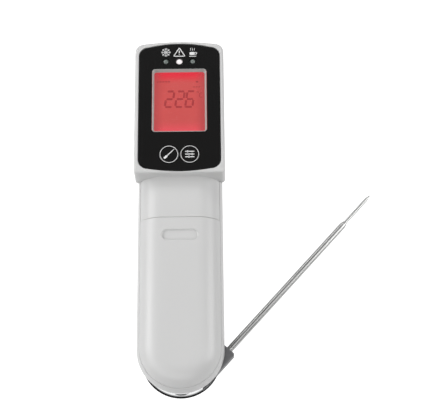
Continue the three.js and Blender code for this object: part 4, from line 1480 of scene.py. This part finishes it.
def makeCamera():
    tilt, roll = math.radians(studio["elevation"]), math.radians(studio["roll"])
    away = Vector((0, -math.cos(tilt), math.sin(tilt)))
    level = Vector((1, 0, 0))
    up = Vector((0, math.sin(tilt), math.cos(tilt)))
    across = level * math.cos(roll) + up * math.sin(roll)
    upright = up * math.cos(roll) - level * math.sin(roll)
    turn = Matrix((across, upright, away)).transposed()
    bpy.ops.object.camera_add()
    camera = bpy.context.object
    camera.name = "product view"
    place = (studio["target"] + away * studio["distance"]) * mm
    camera.matrix_world = Matrix.Translation(place) @ turn.to_4x4()
    camera.data.lens = studio["lens"]
    camera.data.sensor_width = 36
    camera.data.clip_start = 0.01
    camera.data.clip_end = 20
    scene.camera = camera
    return camera


makeCamera()


# White to the camera, with painted contact shadows that only mirrors see, so the chrome trim picks up
# painted shade
def makeFloor():
    material, tree, shader = startMaterial("studio floor white", Roughness=0.9)
    shader.inputs["Emission Color"].default_value = (1, 1, 1, 1)
    shader.inputs["Specular IOR Level"].default_value = 0.0
    rays = addNode(tree, "ShaderNodeLightPath").outputs
    place = addNode(tree, "ShaderNodeTexCoord")
    paintedShadowMasks = []
    for (x, y), (halfX, halfY), inner in studio["paintedShadowSpots"]:
        move = addNode(tree, "ShaderNodeMapping")
        move.inputs["Location"].default_value = (-x / halfX, -y / halfY, 0)
        move.inputs["Scale"].default_value = (1 / (halfX * mm), 1 / (halfY * mm), 0)
        tree.links.new(place.outputs["Object"], move.inputs["Vector"])
        away = addNode(tree, "ShaderNodeVectorMath", operation="LENGTH")
        tree.links.new(move.outputs["Vector"], away.inputs[0])
        paintedShadowMasks.append(stretchValue(tree, away.outputs["Value"], 1.0, 0.0, inner, 1.0))
    # painted shadow: in these spots the floor's paint and glow go dark, for glossy rays only
    dark = maths(tree, "MULTIPLY", maths(tree, "MAXIMUM", *paintedShadowMasks), rays["Is Glossy Ray"])
    paint = [studio["floorPaint"]] * 3
    tree.links.new(mixColours(tree, dark, paint, (0.02, 0.02, 0.02)), shader.inputs["Base Color"])
    seen = maths(tree, "MULTIPLY_ADD", rays["Is Camera Ray"], studio["floorSeen"], studio["floorGlow"])
    glow = maths(tree, "MULTIPLY_ADD", rays["Is Glossy Ray"], studio["floorMirrored"], seen)
    strength = maths(tree, "MULTIPLY", glow, maths(tree, "SUBTRACT", 1, dark))
    tree.links.new(strength, shader.inputs["Emission Strength"])
    bpy.ops.mesh.primitive_grid_add(x_subdivisions=8, y_subdivisions=8, size=4)
    floor = bpy.context.object
    floor.name = "studio_floor"
    floor.rotation_euler.x = -math.atan(studio["floorSlope"])
    floor.location = (0, studio["floorY"] * mm, -0.0002)
    settle(floor)
    floor.data.materials.append(material)
    return floor


makeFloor()


def addPanel(name, location, target, size, power, tint=(1, 1, 1)):
    bpy.ops.object.light_add(type="AREA", location=Vector(location) * mm)
    panel = bpy.context.object
    panel.name = name
    panel.data.shape = "RECTANGLE"
    panel.data.size, panel.data.size_y = size[0] * mm, size[1] * mm
    panel.data.energy = power
    panel.data.color = tint
    aim = (Vector(target) - Vector(location)).to_track_quat("-Z", "Y")
    panel.rotation_euler = aim.to_euler()
    return panel


middle = (0, 40, 15)
panels = {
    "left back panel": ((-560, 315, 420), (700, 400), 2.25),
    "left panel": ((-640, 0, 330), (500, 400), 1.6),
    "left front panel": ((-450, -400, 350), (400, 400), 0.75),
    "right panel": ((620, 40, 380), (500, 400), 2.4),
    "back panel": ((0, 700, 560), (700, 300), 1.6),
    "upper right panel": ((330, -60, 680), (400, 400), 0.55),
    "front panel": ((0, -620, 420), (700, 350), 1.3),
}
for name, (location, size, power) in panels.items():
    addPanel(name, location, middle, size, power)
world = bpy.data.worlds.new("studio air")
scene.world = world
world.use_nodes = True
world.node_tree.nodes["Background"].inputs["Color"].default_value = (1, 1, 1, 1)
world.node_tree.nodes["Background"].inputs["Strength"].default_value = 0.15
scene.view_settings.view_transform = "Standard"
print("studio made")
